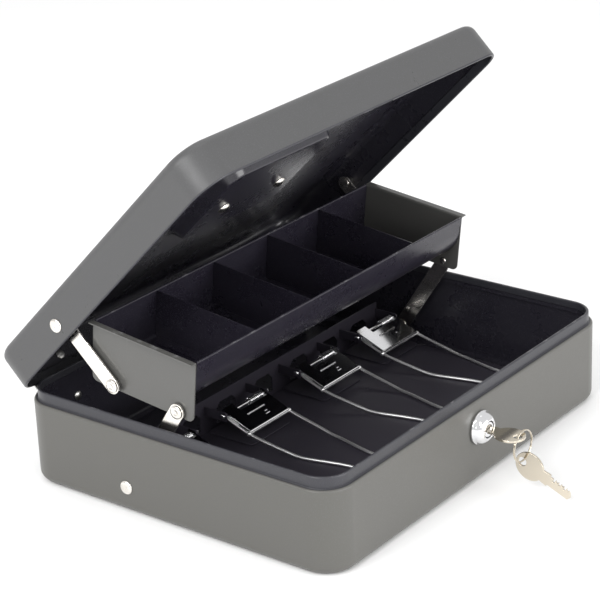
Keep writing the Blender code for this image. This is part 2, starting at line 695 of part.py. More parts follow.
def clip(number, centre):
    axis = empty("clip_axis_%d" % number, (centre, AXLE_Y, AXLE_Z))
    clip_axle(number, centre)
    clip_plate(number, axis)
    right = [point - Vector((0, AXLE_Y, AXLE_Z)) for point in bale_half()]
    left = [Vector((-point.x, point.y, point.z)) for point in reversed(right)]
    wire("clip_bale_%d" % number, right + left, BALE_RADIUS, "chrome", axis, closed=True)


def handle_pieces(lid):
    """Two posts through the floor of the well, and the wire handle that turns in them."""
    floor = LID_TOP_Z - WELL_DEPTH - HINGE.y
    for side, sign in (("left", -1), ("right", 1)):
        bm = bmesh.new()
        profile = [
            (-SHEET - STUD_TALL, 0),
            (-SHEET - STUD_TALL * 0.9, STUD_RADIUS * 0.5),
            (-SHEET - STUD_TALL * 0.5, STUD_RADIUS * 0.85),
            (-SHEET - GAP, STUD_RADIUS),
            (-SHEET - GAP, SHANK_RADIUS),
            (GAP, SHANK_RADIUS),
            (GAP, POST_RADIUS),
            (HANDLE_HEIGHT + POST_ABOVE - POST_CHAMFER, POST_RADIUS),
            (HANDLE_HEIGHT + POST_ABOVE, POST_RADIUS - POST_CHAMFER),
            (HANDLE_HEIGHT + POST_ABOVE, 0),
        ]
        place_of = Vector((sign * POST_X, POST_Y - HINGE.x, floor))
        turned(bm, profile, "Z", place_of, 12)
        post = solid("handle_post_" + side, bm, "nickel", lid)
        bore = place_of + Vector((0, 0, HANDLE_HEIGHT))
        hole = hole_along("post_bore_" + side, "X", bore, 0.008, HANDLE_RADIUS + GAP, lid)
        cut(post, hole)
    axis = empty("handle_axis", (0, POST_Y - HINGE.x, floor + HANDLE_HEIGHT), parent=lid)
    corner = HANDLE_CORNER
    rear = arc((HANDLE_HALF_X - corner, -corner), corner, 90, 0, 4)
    front = arc((HANDLE_HALF_X - corner, corner - HANDLE_REACH), corner, 0, -90, 4)
    right = [Vector((HANDLE_END_X, 0, 0))] + [Vector((x, y, 0)) for x, y in rear + front]
    left = [Vector((-point.x, point.y, 0)) for point in reversed(right)]
    wire("handle", right + left, HANDLE_RADIUS, "nickel", axis)


def strike_plate(lid):
    """An angle inside the front wall of the lid, whose shelf the cam's hook holds down."""
    wall = -DEPTH / 2 + SHEET + GAP + SHEET / 2
    shelf, bend = RIM_Z + STRIKE_ABOVE_RIM, STRIKE_BEND
    points = [Vector((wall, STRIKE_TOP)), *arc((wall + bend, shelf + bend), bend, 180, 270, 3)]
    points.append(Vector((wall + STRIKE_SHELF, shelf)))
    bm = bmesh.new()
    shifted = [point - HINGE for point in points]
    prism(bm, ribbon(shifted, SHEET), "X", STRIKE_LEFT, STRIKE_RIGHT)
    solid("strike_plate", bm, "zinc", lid)


def lock():
    front = -DEPTH / 2
    bm = bmesh.new()
    face = front - GAP
    profile = [
        (front + LOCK_BODY_IN, PLUG_RADIUS + GAP),
        (front + LOCK_BODY_IN, LOCK_BODY_RADIUS),
        (face, LOCK_BODY_RADIUS),
        (face, BEZEL_RADIUS),
        (face - 0.0012, BEZEL_RADIUS),
        (face - 0.0040, BEZEL_RADIUS * 0.90),
        (face - 0.0060, BEZEL_RADIUS * 0.74),
        (face - BEZEL_OUT, BEZEL_RADIUS * 0.56),
        (face - BEZEL_OUT, PLUG_RADIUS + GAP),
        (front + LOCK_BODY_IN, PLUG_RADIUS + GAP),
    ]
    turned(bm, profile, "Y", Vector((0, 0, LOCK_Z)), 20)
    solid("lock_housing", bm, "chrome")
    bm = bmesh.new()
    near = front + SHEET + GAP
    bore = LOCK_BODY_RADIUS + GAP
    outer = LOCK_BODY_RADIUS + LOCK_NUT_WIDER
    tube = tube_profile(near, near + LOCK_NUT_THICK, bore, outer)
    turned(bm, tube, "Y", Vector((0, 0, LOCK_Z)), 18)
    solid("lock_nut", bm, "zinc")

    plug_axis = empty("lock_axis", (0, 0, LOCK_Z))
    rear = front + LOCK_BODY_IN + 0.0008
    nose = face - BEZEL_OUT + 0.0004
    plug = rod("lock_plug", "Y", Vector((0, 0, 0)), nose, rear, PLUG_RADIUS, "chrome", plug_axis, 24)
    bm = bmesh.new()
    clear, wide = KEY_THICK / 2 + GAP, BLADE_HALF + GAP
    box(bm, (-wide, nose - 0.002, -clear), (wide, nose + KEY_DEEP, clear))
    cut(plug, solid("keyway", bm, None, plug_axis))
    cam_and_screw(plug_axis, rear)
    key_in_lock(plug_axis, nose)


def cam_and_screw(axis, rear):
    """The cam points to -X when unlocked. A quarter turn lifts its hook over the strike."""
    half = CAM_WIDE / 2
    low = rear + GAP
    outline = [*arc((0, 0), half, -90, 90, 6)]
    outline += [(-CAM_REACH + 0.0035, half), (-CAM_REACH + 0.0035, half + CAM_HOOK)]
    outline += [(-CAM_REACH, half + CAM_HOOK - 0.0015), (-CAM_REACH, -half + 0.002)]
    outline += [(-CAM_REACH + 0.002, -half)]
    bm = bmesh.new()
    prism(bm, outline, "Y", low, low + CAM_THICK)
    cam = solid("lock_cam", bm, "zinc", axis)
    cut(cam, hole_along("cam_hole", "Y", Vector((0, low, 0)), 0.004, 0.0018, axis))
    bm = bmesh.new()
    far = low + CAM_THICK + GAP
    profile = [
        (rear + 0.0001, 0),
        (rear + 0.0001, 0.0015),
        (far, 0.0015),
        (far, 0.0031),
        (far + 0.0012, 0.0029),
        (far + 0.0018, 0.0018),
        (far + 0.0018, 0),
    ]
    turned(bm, profile, "Y", Vector((0, 0, 0)), 14)
    solid("cam_screw", bm, "zinc", axis)


def key_outline(tip, shoulder, bow_middle):
    """A flat key along an axis: blade, shoulders and an oval bow."""
    side = 1 if tip > bow_middle else -1
    point = tip - side * 0.002
    bow = arc((0, 0), 1.0, 20, 340, 18)
    half_long, half_wide = BOW_LONG / 2, BOW_WIDE / 2
    outline = [(tip, 0.0006), (point, BLADE_HALF), (shoulder, BLADE_HALF)]
    outline += [(bow_middle + side * half_long * p.x, half_wide * p.y) for p in bow]
    outline += [(shoulder, -BLADE_HALF), (point, -BLADE_HALF), (tip, -0.0006)]
    return outline


def key_in_lock(axis, nose):
    outline = key_outline(nose + KEY_DEEP - 0.001, nose - 0.0012, BOW_MIDDLE_Y)
    bm = bmesh.new()
    prism(bm, [(x, y) for y, x in outline], "Z", -KEY_THICK / 2, KEY_THICK / 2)
    key = solid("key_in_lock", bm, "key_nickel", axis)
    eye = Vector((0, BOW_MIDDLE_Y - EYE_OUT, 0))
    cut(key, hole_along("key_eye", "Z", eye, 0.004, EYE_RADIUS, axis))


def ring_and_spare():
    """The ring hangs in the key's eye, and the spare key at the bottom of the ring."""
    ring_axis = empty("ring_axis", RING_CENTRE)
    points = [Vector((x, 0, z)) for x, z in arc((0, 0), RING_RADIUS, 0, 340, 17)]
    wire("key_ring", points, RING_WIRE, "key_nickel", ring_axis, closed=True)
    hang = RING_CENTRE - Vector((0, 0, RING_RADIUS))
    spare_axis = empty("spare_key_axis", hang)
    spare_axis.rotation_euler = (SPARE_DROP, 0, 0)
    outline = key_outline(-SPARE_LONG, -SPARE_SHOULDER, -EYE_OUT)
    half = KEY_THICK / 2
    bm = bmesh.new()
    prism(bm, outline, "X", -half, half)
    key = solid("spare_key", bm, "key_nickel", spare_axis)
    eye = Vector((0, 0, 0))
    cut(key, hole_along("spare_key_eye", "X", eye, 0.004, EYE_RADIUS, spare_axis))


def turned_point(point, centre, angle):
    """A (y, z) point turned about a centre, anticlockwise with +Y to the right."""
    return centre + Matrix.Rotation(angle, 2) @ (point - centre)


def towards(start, end):
    line = end - start
    return math.atan2(line.y, line.x)


def main():
    clear_scene()
    root = empty("hinge_line", (0, *HINGE))
    lid = empty("lid_axis", (0, *HINGE), -LID_OPEN)
    tray = empty("tray_axis", (0, *TRAY_FRONT_PIVOT), TRAY_TILT)
    tray_rear = TRAY_FRONT_PIVOT + Matrix.Rotation(TRAY_TILT, 2) @ Vector((TRAY_PIVOT_SPACING, 0))
    lid_pivot = turned_point(LID_PIVOT_CLOSED, HINGE, -LID_OPEN)
    lower = empty("lower_link_axis", (0, *BASE_PIVOT), towards(BASE_PIVOT, TRAY_FRONT_PIVOT))
    upper = empty("upper_link_axis", (0, *tray_rear), towards(tray_rear, lid_pivot))

    base_shell()
    bill_insert()
    for number, centre in enumerate(CLIP_CENTRES, 1):
        clip(number, centre)
    hinges(root, lid)
    lid_shell(lid)
    strike_plate(lid)
    handle_pieces(lid)
    tray_pieces(tray)
    snug = SHANK_RADIUS + GAP
    loose = SHANK_RADIUS + OPEN_PIVOT_CLEARANCE
    lower_long = (TRAY_FRONT_PIVOT - BASE_PIVOT).length
    upper_long = (lid_pivot - tray_rear).length
    for side, sign in (("left", -1), ("right", 1)):
        lid_pivot_closed = LID_PIVOT_CLOSED - HINGE
        wall_rivet("base_link_rivet_" + side, sign, BASE_PIVOT, LOWER_LINK_X, None)
        wall_rivet("lid_link_rivet_" + side, sign, lid_pivot_closed, UPPER_LINK_X, lid)
        lower_holes = ((0, snug), (lower_long, snug))
        upper_holes = ((0, snug), (upper_long, loose))
        link("lower_link_" + side, sign, lower_long, LOWER_LINK_X, lower_holes, lower)
        link("upper_link_" + side, sign, upper_long, UPPER_LINK_X, upper_holes, upper)
    lock()
    ring_and_spare()


main()
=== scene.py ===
"""Looks of a locking steel cash box with a cantilever coin tray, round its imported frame."""
import json
import math

import bmesh
import bpy
from mathutils import Matrix, Vector


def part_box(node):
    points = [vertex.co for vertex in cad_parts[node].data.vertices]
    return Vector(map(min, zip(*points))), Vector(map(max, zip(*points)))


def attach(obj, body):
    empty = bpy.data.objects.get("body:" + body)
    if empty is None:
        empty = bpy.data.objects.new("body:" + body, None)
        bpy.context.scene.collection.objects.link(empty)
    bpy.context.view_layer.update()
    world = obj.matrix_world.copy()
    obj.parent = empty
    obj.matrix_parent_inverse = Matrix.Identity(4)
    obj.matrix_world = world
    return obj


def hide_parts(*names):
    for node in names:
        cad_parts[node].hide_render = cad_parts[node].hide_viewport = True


bl_info = {
    "name": "Cash box pieces",
    "version": (1, 0, 0),
    "blender": (4, 5, 0),
    "location": "View3D > Sidebar > Cash box",
    "description": "Builds the pressed shells, tray, links, clips, lock and keys of a cash box",
    "category": "Object",
}

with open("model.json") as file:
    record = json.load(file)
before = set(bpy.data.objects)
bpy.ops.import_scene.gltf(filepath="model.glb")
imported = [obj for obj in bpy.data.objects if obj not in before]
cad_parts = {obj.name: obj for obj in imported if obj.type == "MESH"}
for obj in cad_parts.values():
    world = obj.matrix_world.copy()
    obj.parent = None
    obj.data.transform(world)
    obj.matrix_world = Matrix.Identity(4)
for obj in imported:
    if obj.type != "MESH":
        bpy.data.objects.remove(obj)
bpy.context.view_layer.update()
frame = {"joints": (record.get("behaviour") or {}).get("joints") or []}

JOINTS = {joint["name"]: joint for joint in frame["joints"]}
X_AXIS, Y_AXIS, Z_AXIS = Vector((1, 0, 0)), Vector((0, 1, 0)), Vector((0, 0, 1))


def pivot(name):
    return Vector(JOINTS[name]["pos_m"])


def middle_of(node):
    low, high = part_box(node)
    return (low + high) / 2


BASE_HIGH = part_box("base_shell")[1]
HALF_X, HALF_Y, RIM_Z = BASE_HIGH.x, BASE_HIGH.y, BASE_HIGH.z
HINGE = pivot("lid_hinge")
LID_OPEN = math.radians(-JOINTS["lid_hinge"]["range_deg"][0])
LID = Matrix.Translation(HINGE) @ Matrix.Rotation(-LID_OPEN, 4, "X")
CLOSED = LID @ Matrix.Translation(-HINGE)
TRAY_AXIS = pivot("tray_front_pivot")
TRAY_SPAN = pivot("tray_rear_pivot") - TRAY_AXIS
TRAY_TILT = math.atan2(TRAY_SPAN.z, TRAY_SPAN.y)
TRAY = Matrix.Translation(TRAY_AXIS) @ Matrix.Rotation(TRAY_TILT, 4, "X")
LOWER_LINK = pivot("tray_front_pivot") - pivot("lower_link_pivot")
LID_PIVOT = Vector((0, *middle_of("lid_link_rivet_left").yz))
UPPER_LINK = LID_PIVOT - pivot("tray_rear_pivot")
CLIPS = (1, 2, 3, 4)
SIDES = (("left", -1), ("right", 1))
RIVET_HOLE = 0.0024
OPEN_HOLE = 0.0030
LINK_HALF_WIDE = 0.00525
LOCK_HOLE = 0.0095
TRAY_TOP = 0.0360
TRAY_RUB = (0.0352, 0.0359)
HALF_BLADE, BOW_HALF_LONG, BOW_HALF_WIDE = 0.0031, 0.010, 0.009
EYE_OUT, EYE_RADIUS = 0.0055, 0.0029
SPARE_TIP, SPARE_SHOULDER, SPARE_DROP = -0.0367, -0.0200, 23.6


# Shapes ---------------------------------------------------------------------------------


def arc(centre, radius, start, end, steps):
    """Points of an arc in a plane, its angles in degrees."""
    turns = [math.radians(start + (end - start) * i / steps) for i in range(steps + 1)]
    return [Vector((centre[0] + radius * math.cos(t), centre[1] + radius * math.sin(t))) for t in turns]


def prism(bm, outline, axis, low, high):
    """An outline in the plane across an axis, extruded along it."""
    def point(pair):
        a, b = pair
        return {"X": (low, a, b), "Y": (a, low, b), "Z": (a, b, low)}[axis]

    along = {"X": X_AXIS, "Y": Y_AXIS, "Z": Z_AXIS}[axis]
    face = bm.faces.new([bm.verts.new(point(pair)) for pair in outline])
    made = bmesh.ops.extrude_face_region(bm, geom=[face])
    moved = [item for item in made["geom"] if isinstance(item, bmesh.types.BMVert)]
    bmesh.ops.translate(bm, vec=along * (high - low), verts=moved)


def box(bm, low, high):
    made = bmesh.ops.create_cube(bm, size=1)
    low, high = Vector(low), Vector(high)
    size = high - low
    bmesh.ops.scale(bm, vec=size, verts=made["verts"])
    bmesh.ops.translate(bm, vec=(low + high) / 2, verts=made["verts"])
    return made["verts"]


def turned(bm, profile, axis, centre, steps=40):
    """A profile of (place along the axis, radius) spun about an axis through a centre."""
    before = set(bm.verts)
    row = [bm.verts.new((along, radius, 0)) for along, radius in profile]
    edges = [bm.edges.new(pair) for pair in zip(row, row[1:])]
    bmesh.ops.spin(
        bm, geom=row + edges, cent=(0, 0, 0), axis=X_AXIS, angle=math.tau, steps=steps, use_merge=True
    )
    fresh = [vert for vert in bm.verts if vert not in before]
    bmesh.ops.remove_doubles(bm, verts=fresh, dist=1e-7)
    fresh = [vert for vert in bm.verts if vert not in before]
    turn = {
        "X": Matrix.Identity(4),
        "Y": Matrix.Rotation(math.pi / 2, 4, "Z"),
        "Z": Matrix.Rotation(-math.pi / 2, 4, "Y"),
    }[axis]
    bmesh.ops.transform(bm, matrix=Matrix.Translation(centre) @ turn, verts=fresh)


def rod(bm, axis, centre, low, high, radius, steps=32):
    turned(bm, [(low, 0), (low, radius), (high, radius), (high, 0)], axis, centre, steps)


def lathe(profile, axis, centre, steps=40):
    """A new bmesh of one turned shape."""
    bm = bmesh.new()
    turned(bm, profile, axis, centre, steps)
    return bm


def extruded(outline, axis, low, high):
    """A new bmesh of one extruded outline."""
    bm = bmesh.new()
    prism(bm, outline, axis, low, high)
    return bm


def round_edges(bm, edges, radius, steps):
    bmesh.ops.bevel(
        bm, geom=edges, offset=radius, segments=steps, profile=0.5, affect="EDGES", material=-1
    )


def ribbon(points, thick):
    """The outline of a bent sheet whose middle line runs through the points."""
    normals = []
    for i, here in enumerate(points):
        first = (here - points[i - 1]).normalized() if i else (points[1] - here).normalized()
        second = (points[i + 1] - here).normalized() if i < len(points) - 1 else first
        middle = (first + second).normalized()
        stretch = 1 / max(middle.dot(first), 0.5)
        normals.append(Vector((-middle.y, middle.x)) * stretch * thick / 2)
    left = [p + n for p, n in zip(points, normals)]
    right = [p - n for p, n in zip(points, normals)]
    return left + right[::-1]


def rounded_start(bm, outline, steps):
    """A rounded rectangle as one face, and its rim."""
    half_x, half_y, corner, middle_y, z = outline
    made = bmesh.ops.create_grid(bm, x_segments=1, y_segments=1, size=1)
    bmesh.ops.scale(bm, vec=(half_x, half_y, 1), verts=made["verts"])
    bmesh.ops.translate(bm, vec=(0, middle_y, z), verts=made["verts"])
    bmesh.ops.bevel(
        bm,
        geom=made["verts"],
        offset=corner,
        offset_type="OFFSET",
        segments=steps,
        profile=0.5,
        affect="VERTICES",
        material=-1,
    )
    return list(bm.edges)


def grow_rows(bm, ring, before, rows):
    """Extrudes a rim from row to row. Each row is a rounded rectangle and its material."""
    for outline, material in rows:
        made = bmesh.ops.extrude_edge_only(bm, edges=ring)["geom"]
        fresh = {item for item in made if isinstance(item, bmesh.types.BMVert)}
        ring = [
            item
            for item in made
            if isinstance(item, bmesh.types.BMEdge) and fresh.issuperset(item.verts)
        ]
        for face in (item for item in made if isinstance(item, bmesh.types.BMFace)):
            face.material_index = material
        for vert in fresh:
            place_on(vert, before, outline)
        before = outline
    last = bmesh.ops.contextual_create(bm, geom=ring)["faces"]
    for face in last:
        face.material_index = rows[-1][1]


def place_on(vert, before, after):
    """Moves a corner's vertex from one rounded rectangle to the same place on another."""
    half_x, half_y, corner, middle_y, _ = before
    side = Vector((math.copysign(1, vert.co.x), math.copysign(1, vert.co.y - middle_y)))
    old = Vector((side.x * (half_x - corner), middle_y + side.y * (half_y - corner)))
    direction = (vert.co.xy - old) / corner
    half_x, half_y, corner, middle_y, z = after
    new = Vector((side.x * (half_x - corner), middle_y + side.y * (half_y - corner)))
    vert.co = (*(new + direction * corner), z)


def piece(name, bm, body, nodes=(), finishes=(), place=None, bevel=0.0, angle=35):
    """Makes a finished object of a bmesh, on its body and in place of its CAD nodes."""
    if place is not None:
        bm.transform(place)
    bmesh.ops.remove_doubles(bm, verts=bm.verts, dist=1e-7)
    bmesh.ops.recalc_face_normals(bm, faces=bm.faces)
    mesh = bpy.data.meshes.new(name)
    bm.to_mesh(mesh)
    bm.free()
    obj = bpy.data.objects.new(name, mesh)
    bpy.context.scene.collection.objects.link(obj)
    for finish in finishes:
        mesh.materials.append(finish)
    dress(obj, bevel, angle)
    settle(obj, body, nodes)


def dress(obj, bevel, angle):
    obj.data.shade_smooth()
    obj.data.set_sharp_from_angle(angle=math.radians(angle))
    if bevel:
        modifier = obj.modifiers.new("Soft edges", "BEVEL")
        modifier.width = bevel
        modifier.segments = 2
        modifier.limit_method = "ANGLE"
        modifier.angle_limit = math.radians(angle)
        modifier.harden_normals = True
    weighted = obj.modifiers.new("Flat faces", "WEIGHTED_NORMAL")
    weighted.keep_sharp = True


def settle(obj, body, nodes):
    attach(obj, body)
    if nodes:
        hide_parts(*nodes)


def combined(bm, other, operation):
    """The bmesh with another's closed shapes cut from it or joined to it. Both are used up."""
    meshes = []
    for shape in (bm, other):
        bmesh.ops.remove_doubles(shape, verts=shape.verts, dist=1e-7)
        bmesh.ops.recalc_face_normals(shape, faces=shape.faces)
        mesh = bpy.data.meshes.new("part_of_a_cut")
        shape.to_mesh(mesh)
        shape.free()
        meshes.append(mesh)
    body, tool = (bpy.data.objects.new("part_of_a_cut", mesh) for mesh in meshes)
    for obj in (body, tool):
        bpy.context.scene.collection.objects.link(obj)
    modifier = body.modifiers.new("Cut", "BOOLEAN")
    modifier.operation = operation
    modifier.use_self = True
    modifier.object = tool
    graph = bpy.context.evaluated_depsgraph_get()
    result = body.evaluated_get(graph).to_mesh()
    if not result.polygons:
        raise RuntimeError("a cut left nothing: " + ", ".join(mesh.name for mesh in meshes))
    made = bmesh.new()
    made.from_mesh(result)
    body.evaluated_get(graph).to_mesh_clear()
    for obj, mesh in zip((body, tool), meshes):
        bpy.data.objects.remove(obj)
        bpy.data.meshes.remove(mesh)
    return made


def cut(bm, other):
    return combined(bm, other, "DIFFERENCE")


def join(bm, other):
    return combined(bm, other, "UNION")


def drilled(bm, axis, centre, low, high, radius, steps=32):
    """The bmesh with one round hole bored through it."""
    bore = bmesh.new()
    rod(bore, axis, centre, low, high, radius, steps)
    return cut(bm, bore)


def wire(name, points, radius, body, slot, nodes, finish, place=None, smooth=True):
    """A round wire through its points, as a curve."""
    curve = bpy.data.curves.new(name, "CURVE")
    curve.dimensions = "3D"
    curve.bevel_depth = radius
    curve.bevel_resolution = 5
    curve.use_fill_caps = True
    spline = curve.splines.new("NURBS" if smooth else "POLY")
    spline.points.add(len(points) - 1)
    for spot, point in zip(spline.points, points):
        spot.co = (*(place @ Vector(point) if place else Vector(point)), 1)
    if smooth:
        spline.order_u = 3
        spline.use_endpoint_u = True
        spline.resolution_u = 6
        curve.resolution_u = 6
    spline.use_smooth = True
    curve.materials.append(finish)
    obj = bpy.data.objects.new(name, curve)
    bpy.context.scene.collection.objects.link(obj)
    settle(obj, body, nodes)


# Finishes -------------------------------------------------------------------------------


def add(tree, kind, inputs=None, **values):
    made = tree.nodes.new(kind)
    for key, value in values.items():
        setattr(made, key, value)
    for key, value in (inputs or {}).items():
        made.inputs[key].default_value = value
    return made


def mixed(tree, factor, first, second, blend="MIX"):
    """A colour mix. Each of its inputs is a socket or a value."""
    made = add(tree, "ShaderNodeMix", data_type="RGBA", blend_type=blend)
    for place, value in ((0, factor), (6, first), (7, second)):
        feed(tree, made.inputs[place], value)
    return made.outputs[2]


def feed(tree, socket, value):
    if isinstance(value, bpy.types.NodeSocket):
        tree.links.new(value, socket)
    else:
        socket.default_value = value


def ranged(tree, value, low, high, to_low, to_high):
    made = add(tree, "ShaderNodeMapRange")
    limits = (("From Min", low), ("From Max", high), ("To Min", to_low), ("To Max", to_high))
    for key, limit in limits:
        feed(tree, made.inputs[key], limit)
    tree.links.new(value, made.inputs["Value"])
    return made.outputs["Result"]


def times(tree, first, second, operation="MULTIPLY"):
    made = add(tree, "ShaderNodeMath", operation=operation)
    feed(tree, made.inputs[0], first)
    feed(tree, made.inputs[1], second)
    return made.outputs[0]


def noise(tree, place, scale, detail=2.0, roughness=0.5):
    made = add(tree, "ShaderNodeTexNoise", {"Detail": detail, "Roughness": roughness})
    feed(tree, made.inputs["Scale"], scale)
    tree.links.new(place, made.inputs["Vector"])
    return made.outputs["Fac"]


def group(name, inputs, outputs):
    tree = bpy.data.node_groups.new(name, "ShaderNodeTree")
    tree.interface.new_socket("Place", in_out="INPUT", socket_type="NodeSocketVector")
    for label, value in inputs:
        socket = tree.interface.new_socket(label, in_out="INPUT", socket_type="NodeSocketFloat")
        socket.default_value = value
    for label in outputs:
        tree.interface.new_socket(label, in_out="OUTPUT", socket_type="NodeSocketFloat")
    return tree, tree.nodes.new("NodeGroupInput").outputs, tree.nodes.new("NodeGroupOutput").inputs


def enamel_skin():
    """Orange peel, fine flecks, smudges and the slow waves of a pressed sheet."""
    name = "Enamel skin"
    if name in bpy.data.node_groups:
        return bpy.data.node_groups[name]
    inputs = (("Peel scale", 900.0), ("Fleck scale", 2600.0), ("Fleck limit", 0.62))
    tree, given, out = group(name, inputs, ("Height", "Flecks", "Smudge"))
    place = given["Place"]
    peel = noise(tree, place, given["Peel scale"], 3.0)
    waves = noise(tree, place, 9.0, 1.0)
    height = times(tree, times(tree, peel, 0.010), waves, "ADD")
    tree.links.new(height, out["Height"])
    flecks = noise(tree, place, given["Fleck scale"], 1.0)
    limit = times(tree, given["Fleck limit"], 0.10, "ADD")
    tree.links.new(ranged(tree, flecks, given["Fleck limit"], limit, 0.0, 1.0), out["Flecks"])
    smudge = noise(tree, place, 26.0, 5.0, 0.62)
    tree.links.new(ranged(tree, smudge, 0.35, 0.68, 0.0, 1.0), out["Smudge"])
    return tree


def plated_skin():
    """Hairline scratches, a cloudy tarnish and tumbling marks on plated metal."""
    name = "Plated skin"
    if name in bpy.data.node_groups:
        return bpy.data.node_groups[name]
    inputs = (("Scratch scale", 1400.0), ("Stretch", 0.05), ("Cloud scale", 160.0))
    tree, given, out = group(name, inputs, ("Height", "Scratches", "Tarnish"))
    stretch = add(tree, "ShaderNodeCombineXYZ", {"X": 1.0, "Z": 1.0})
    tree.links.new(given["Stretch"], stretch.inputs["Y"])
    drawn = add(tree, "ShaderNodeVectorMath", operation="MULTIPLY")
    tree.links.new(given["Place"], drawn.inputs[0])
    tree.links.new(stretch.outputs[0], drawn.inputs[1])
    hairs = noise(tree, drawn.outputs[0], given["Scratch scale"], 4.0, 0.7)
    tree.links.new(ranged(tree, hairs, 0.42, 0.70, 0.0, 1.0), out["Scratches"])
    cloud = noise(tree, given["Place"], given["Cloud scale"], 4.0, 0.6)
    tree.links.new(ranged(tree, cloud, 0.45, 0.72, 0.0, 1.0), out["Tarnish"])
    marks = noise(tree, given["Place"], 900.0, 2.0)
    tree.links.new(times(tree, times(tree, hairs, 0.2), marks, "ADD"), out["Height"])
    return tree


def edge_wear():
    """Where hands and sheets rub along a rim: a broken band between two heights."""
    name = "Rim wear"
    if name in bpy.data.node_groups:
        return bpy.data.node_groups[name]
    inputs = (("From height", 0.0), ("To height", 0.001), ("Breaks", 0.55))
    tree, given, out = group(name, inputs, ("Worn",))
    parts = add(tree, "ShaderNodeSeparateXYZ")
    tree.links.new(given["Place"], parts.inputs[0])
    band = ranged(tree, parts.outputs["Z"], given["From height"], given["To height"], 0.0, 1.0)
    rubs = noise(tree, given["Place"], 140.0, 5.0, 0.7)
    above = times(tree, given["Breaks"], 0.08, "ADD")
    patches = ranged(tree, rubs, given["Breaks"], above, 0.0, 1.0)
    tree.links.new(times(tree, band, patches), out["Worn"])
    return tree


def use(tree, made_group, place, **values):
    made = add(tree, "ShaderNodeGroup", node_tree=made_group)
    tree.links.new(place, made.inputs["Place"])
    for key, value in values.items():
        made.inputs[key.replace("_", " ")].default_value = value
    return made.outputs


def blank(name, turn=0.0, centre=(0, 0, 0)):
    """A new material: its tree, its shader and a place that is turned with its piece."""
    material = bpy.data.materials.new(name)
    material.use_nodes = True
    tree = material.node_tree
    coordinates = add(tree, "ShaderNodeTexCoord")
    mapping = add(tree, "ShaderNodeMapping", vector_type="TEXTURE")
    mapping.inputs["Location"].default_value = centre
    mapping.inputs["Rotation"].default_value = (turn, 0, 0)
    tree.links.new(coordinates.outputs["Object"], mapping.inputs["Vector"])
    return material, tree, tree.nodes["Principled BSDF"], mapping.outputs["Vector"]


def bump(tree, shader, height, strength, distance):
    made = add(tree, "ShaderNodeBump", {"Strength": strength, "Distance": distance})
    tree.links.new(height, made.inputs["Height"])
    tree.links.new(made.outputs["Normal"], shader.inputs["Normal"])


def enamel(
    name, colour, roughness, fleck=0.25, coat=0.0, specular=0.5, wave=0.0006,
    turn=0.0, centre=(0, 0, 0), rim=None,
):
    """Stoved enamel: flecks, smudges, and bare bright metal where a rim is rubbed."""
    if name in bpy.data.materials:
        return bpy.data.materials[name]
    colours = bpy.context.scene.cash_box_finishes
    material, tree, shader, place = blank(name, turn, centre)
    skin = use(tree, enamel_skin(), place)
    dust = mixed(tree, times(tree, skin["Flecks"], fleck), colour, colours.fleck)
    paint = mixed(tree, times(tree, skin["Smudge"], 0.05), dust, colours.dust)
    level = ranged(tree, skin["Smudge"], 0.0, 1.0, roughness - 0.01, roughness + 0.03)
    if rim:
        worn = use(tree, edge_wear(), place, From_height=rim[0], To_height=rim[1])["Worn"]
        paint = mixed(tree, times(tree, worn, rim[2]), paint, colours.bare_steel)
        level = times(tree, level, times(tree, worn, -0.08), "ADD")
    tree.links.new(paint, shader.inputs["Base Color"])
    tree.links.new(level, shader.inputs["Roughness"])
    shader.inputs["Coat Weight"].default_value = coat
    shader.inputs["Specular IOR Level"].default_value = specular
    shader.inputs["Coat Roughness"].default_value = 0.16
    bump(tree, shader, skin["Height"], 1.0, wave)
    return material


def plated(name, colour, roughness, tarnish, stretch=0.05, depth=0.000004, turn=0.0):
    """Bright plate on steel with hairlines, tumbling marks and a little tarnish."""
    if name in bpy.data.materials:
        return bpy.data.materials[name]
    colours = bpy.context.scene.cash_box_finishes
    material, tree, shader, place = blank(name, turn)
    skin = use(tree, plated_skin(), place, Stretch=stretch)
    face = mixed(tree, times(tree, skin["Tarnish"], tarnish), colour, colours.tarnish)
    tree.links.new(face, shader.inputs["Base Color"])
    shader.inputs["Metallic"].default_value = 1.0
    level = ranged(tree, skin["Scratches"], 0.0, 1.0, roughness, roughness + 0.05)
    tree.links.new(level, shader.inputs["Roughness"])
    bump(tree, shader, skin["Height"], 0.08, depth)
    return material


def finishes_of_case(turn=0.0, centre=(0, 0, 0), where="base", rim=None):
    """The outside, the inside and the rim band of a shell. The band's enamel is painted darker than the
    wall's, as painted shade.
    """
    colours = bpy.context.scene.cash_box_finishes
    # For the lid, the outside colour is painted darker than the base's: painted shade.
    outer = colours.outside if where == "base" else colours.lid
    at = {"turn": turn, "centre": centre}
    outside = enamel(where + "_outside_enamel", outer, 0.36, 0.14, specular=0.36, rim=rim, **at)
    inside = enamel(where + "_inside_enamel", colours.inside, 0.27, 0.22, 0.12, **at)
    # The band's colour is painted darker than the wall's: painted shade.
    band = enamel(where + "_band_enamel", colours.band, 0.34, 0.12, rim=rim, **at)
    return outside, inside, band


def inner_enamel(name="inner_enamel", turn=0.0, rim=None, centre=(0, 0, 0)):
    colours = bpy.context.scene.cash_box_finishes
    # The insert's colour is painted darker, as painted shade; the tray's is its own enamel.
    insert_painted_shade_or_tray_colour = colours.insert if name == "inner_enamel" else colours.tray
    return enamel(name, insert_painted_shade_or_tray_colour, 0.27, 0.22, 0.12, turn=turn, rim=rim, centre=centre)


def nickel():
    return plated("bright_nickel", bpy.context.scene.cash_box_finishes.nickel, 0.20, 0.35)


def zinc():
    return plated("bright_zinc", bpy.context.scene.cash_box_finishes.zinc, 0.32, 0.5)


def key_nickel():
    return plated("key_nickel", bpy.context.scene.cash_box_finishes.key_metal, 0.24, 0.4, 0.03, 0.000006)


# Settings -------------------------------------------------------------------------------


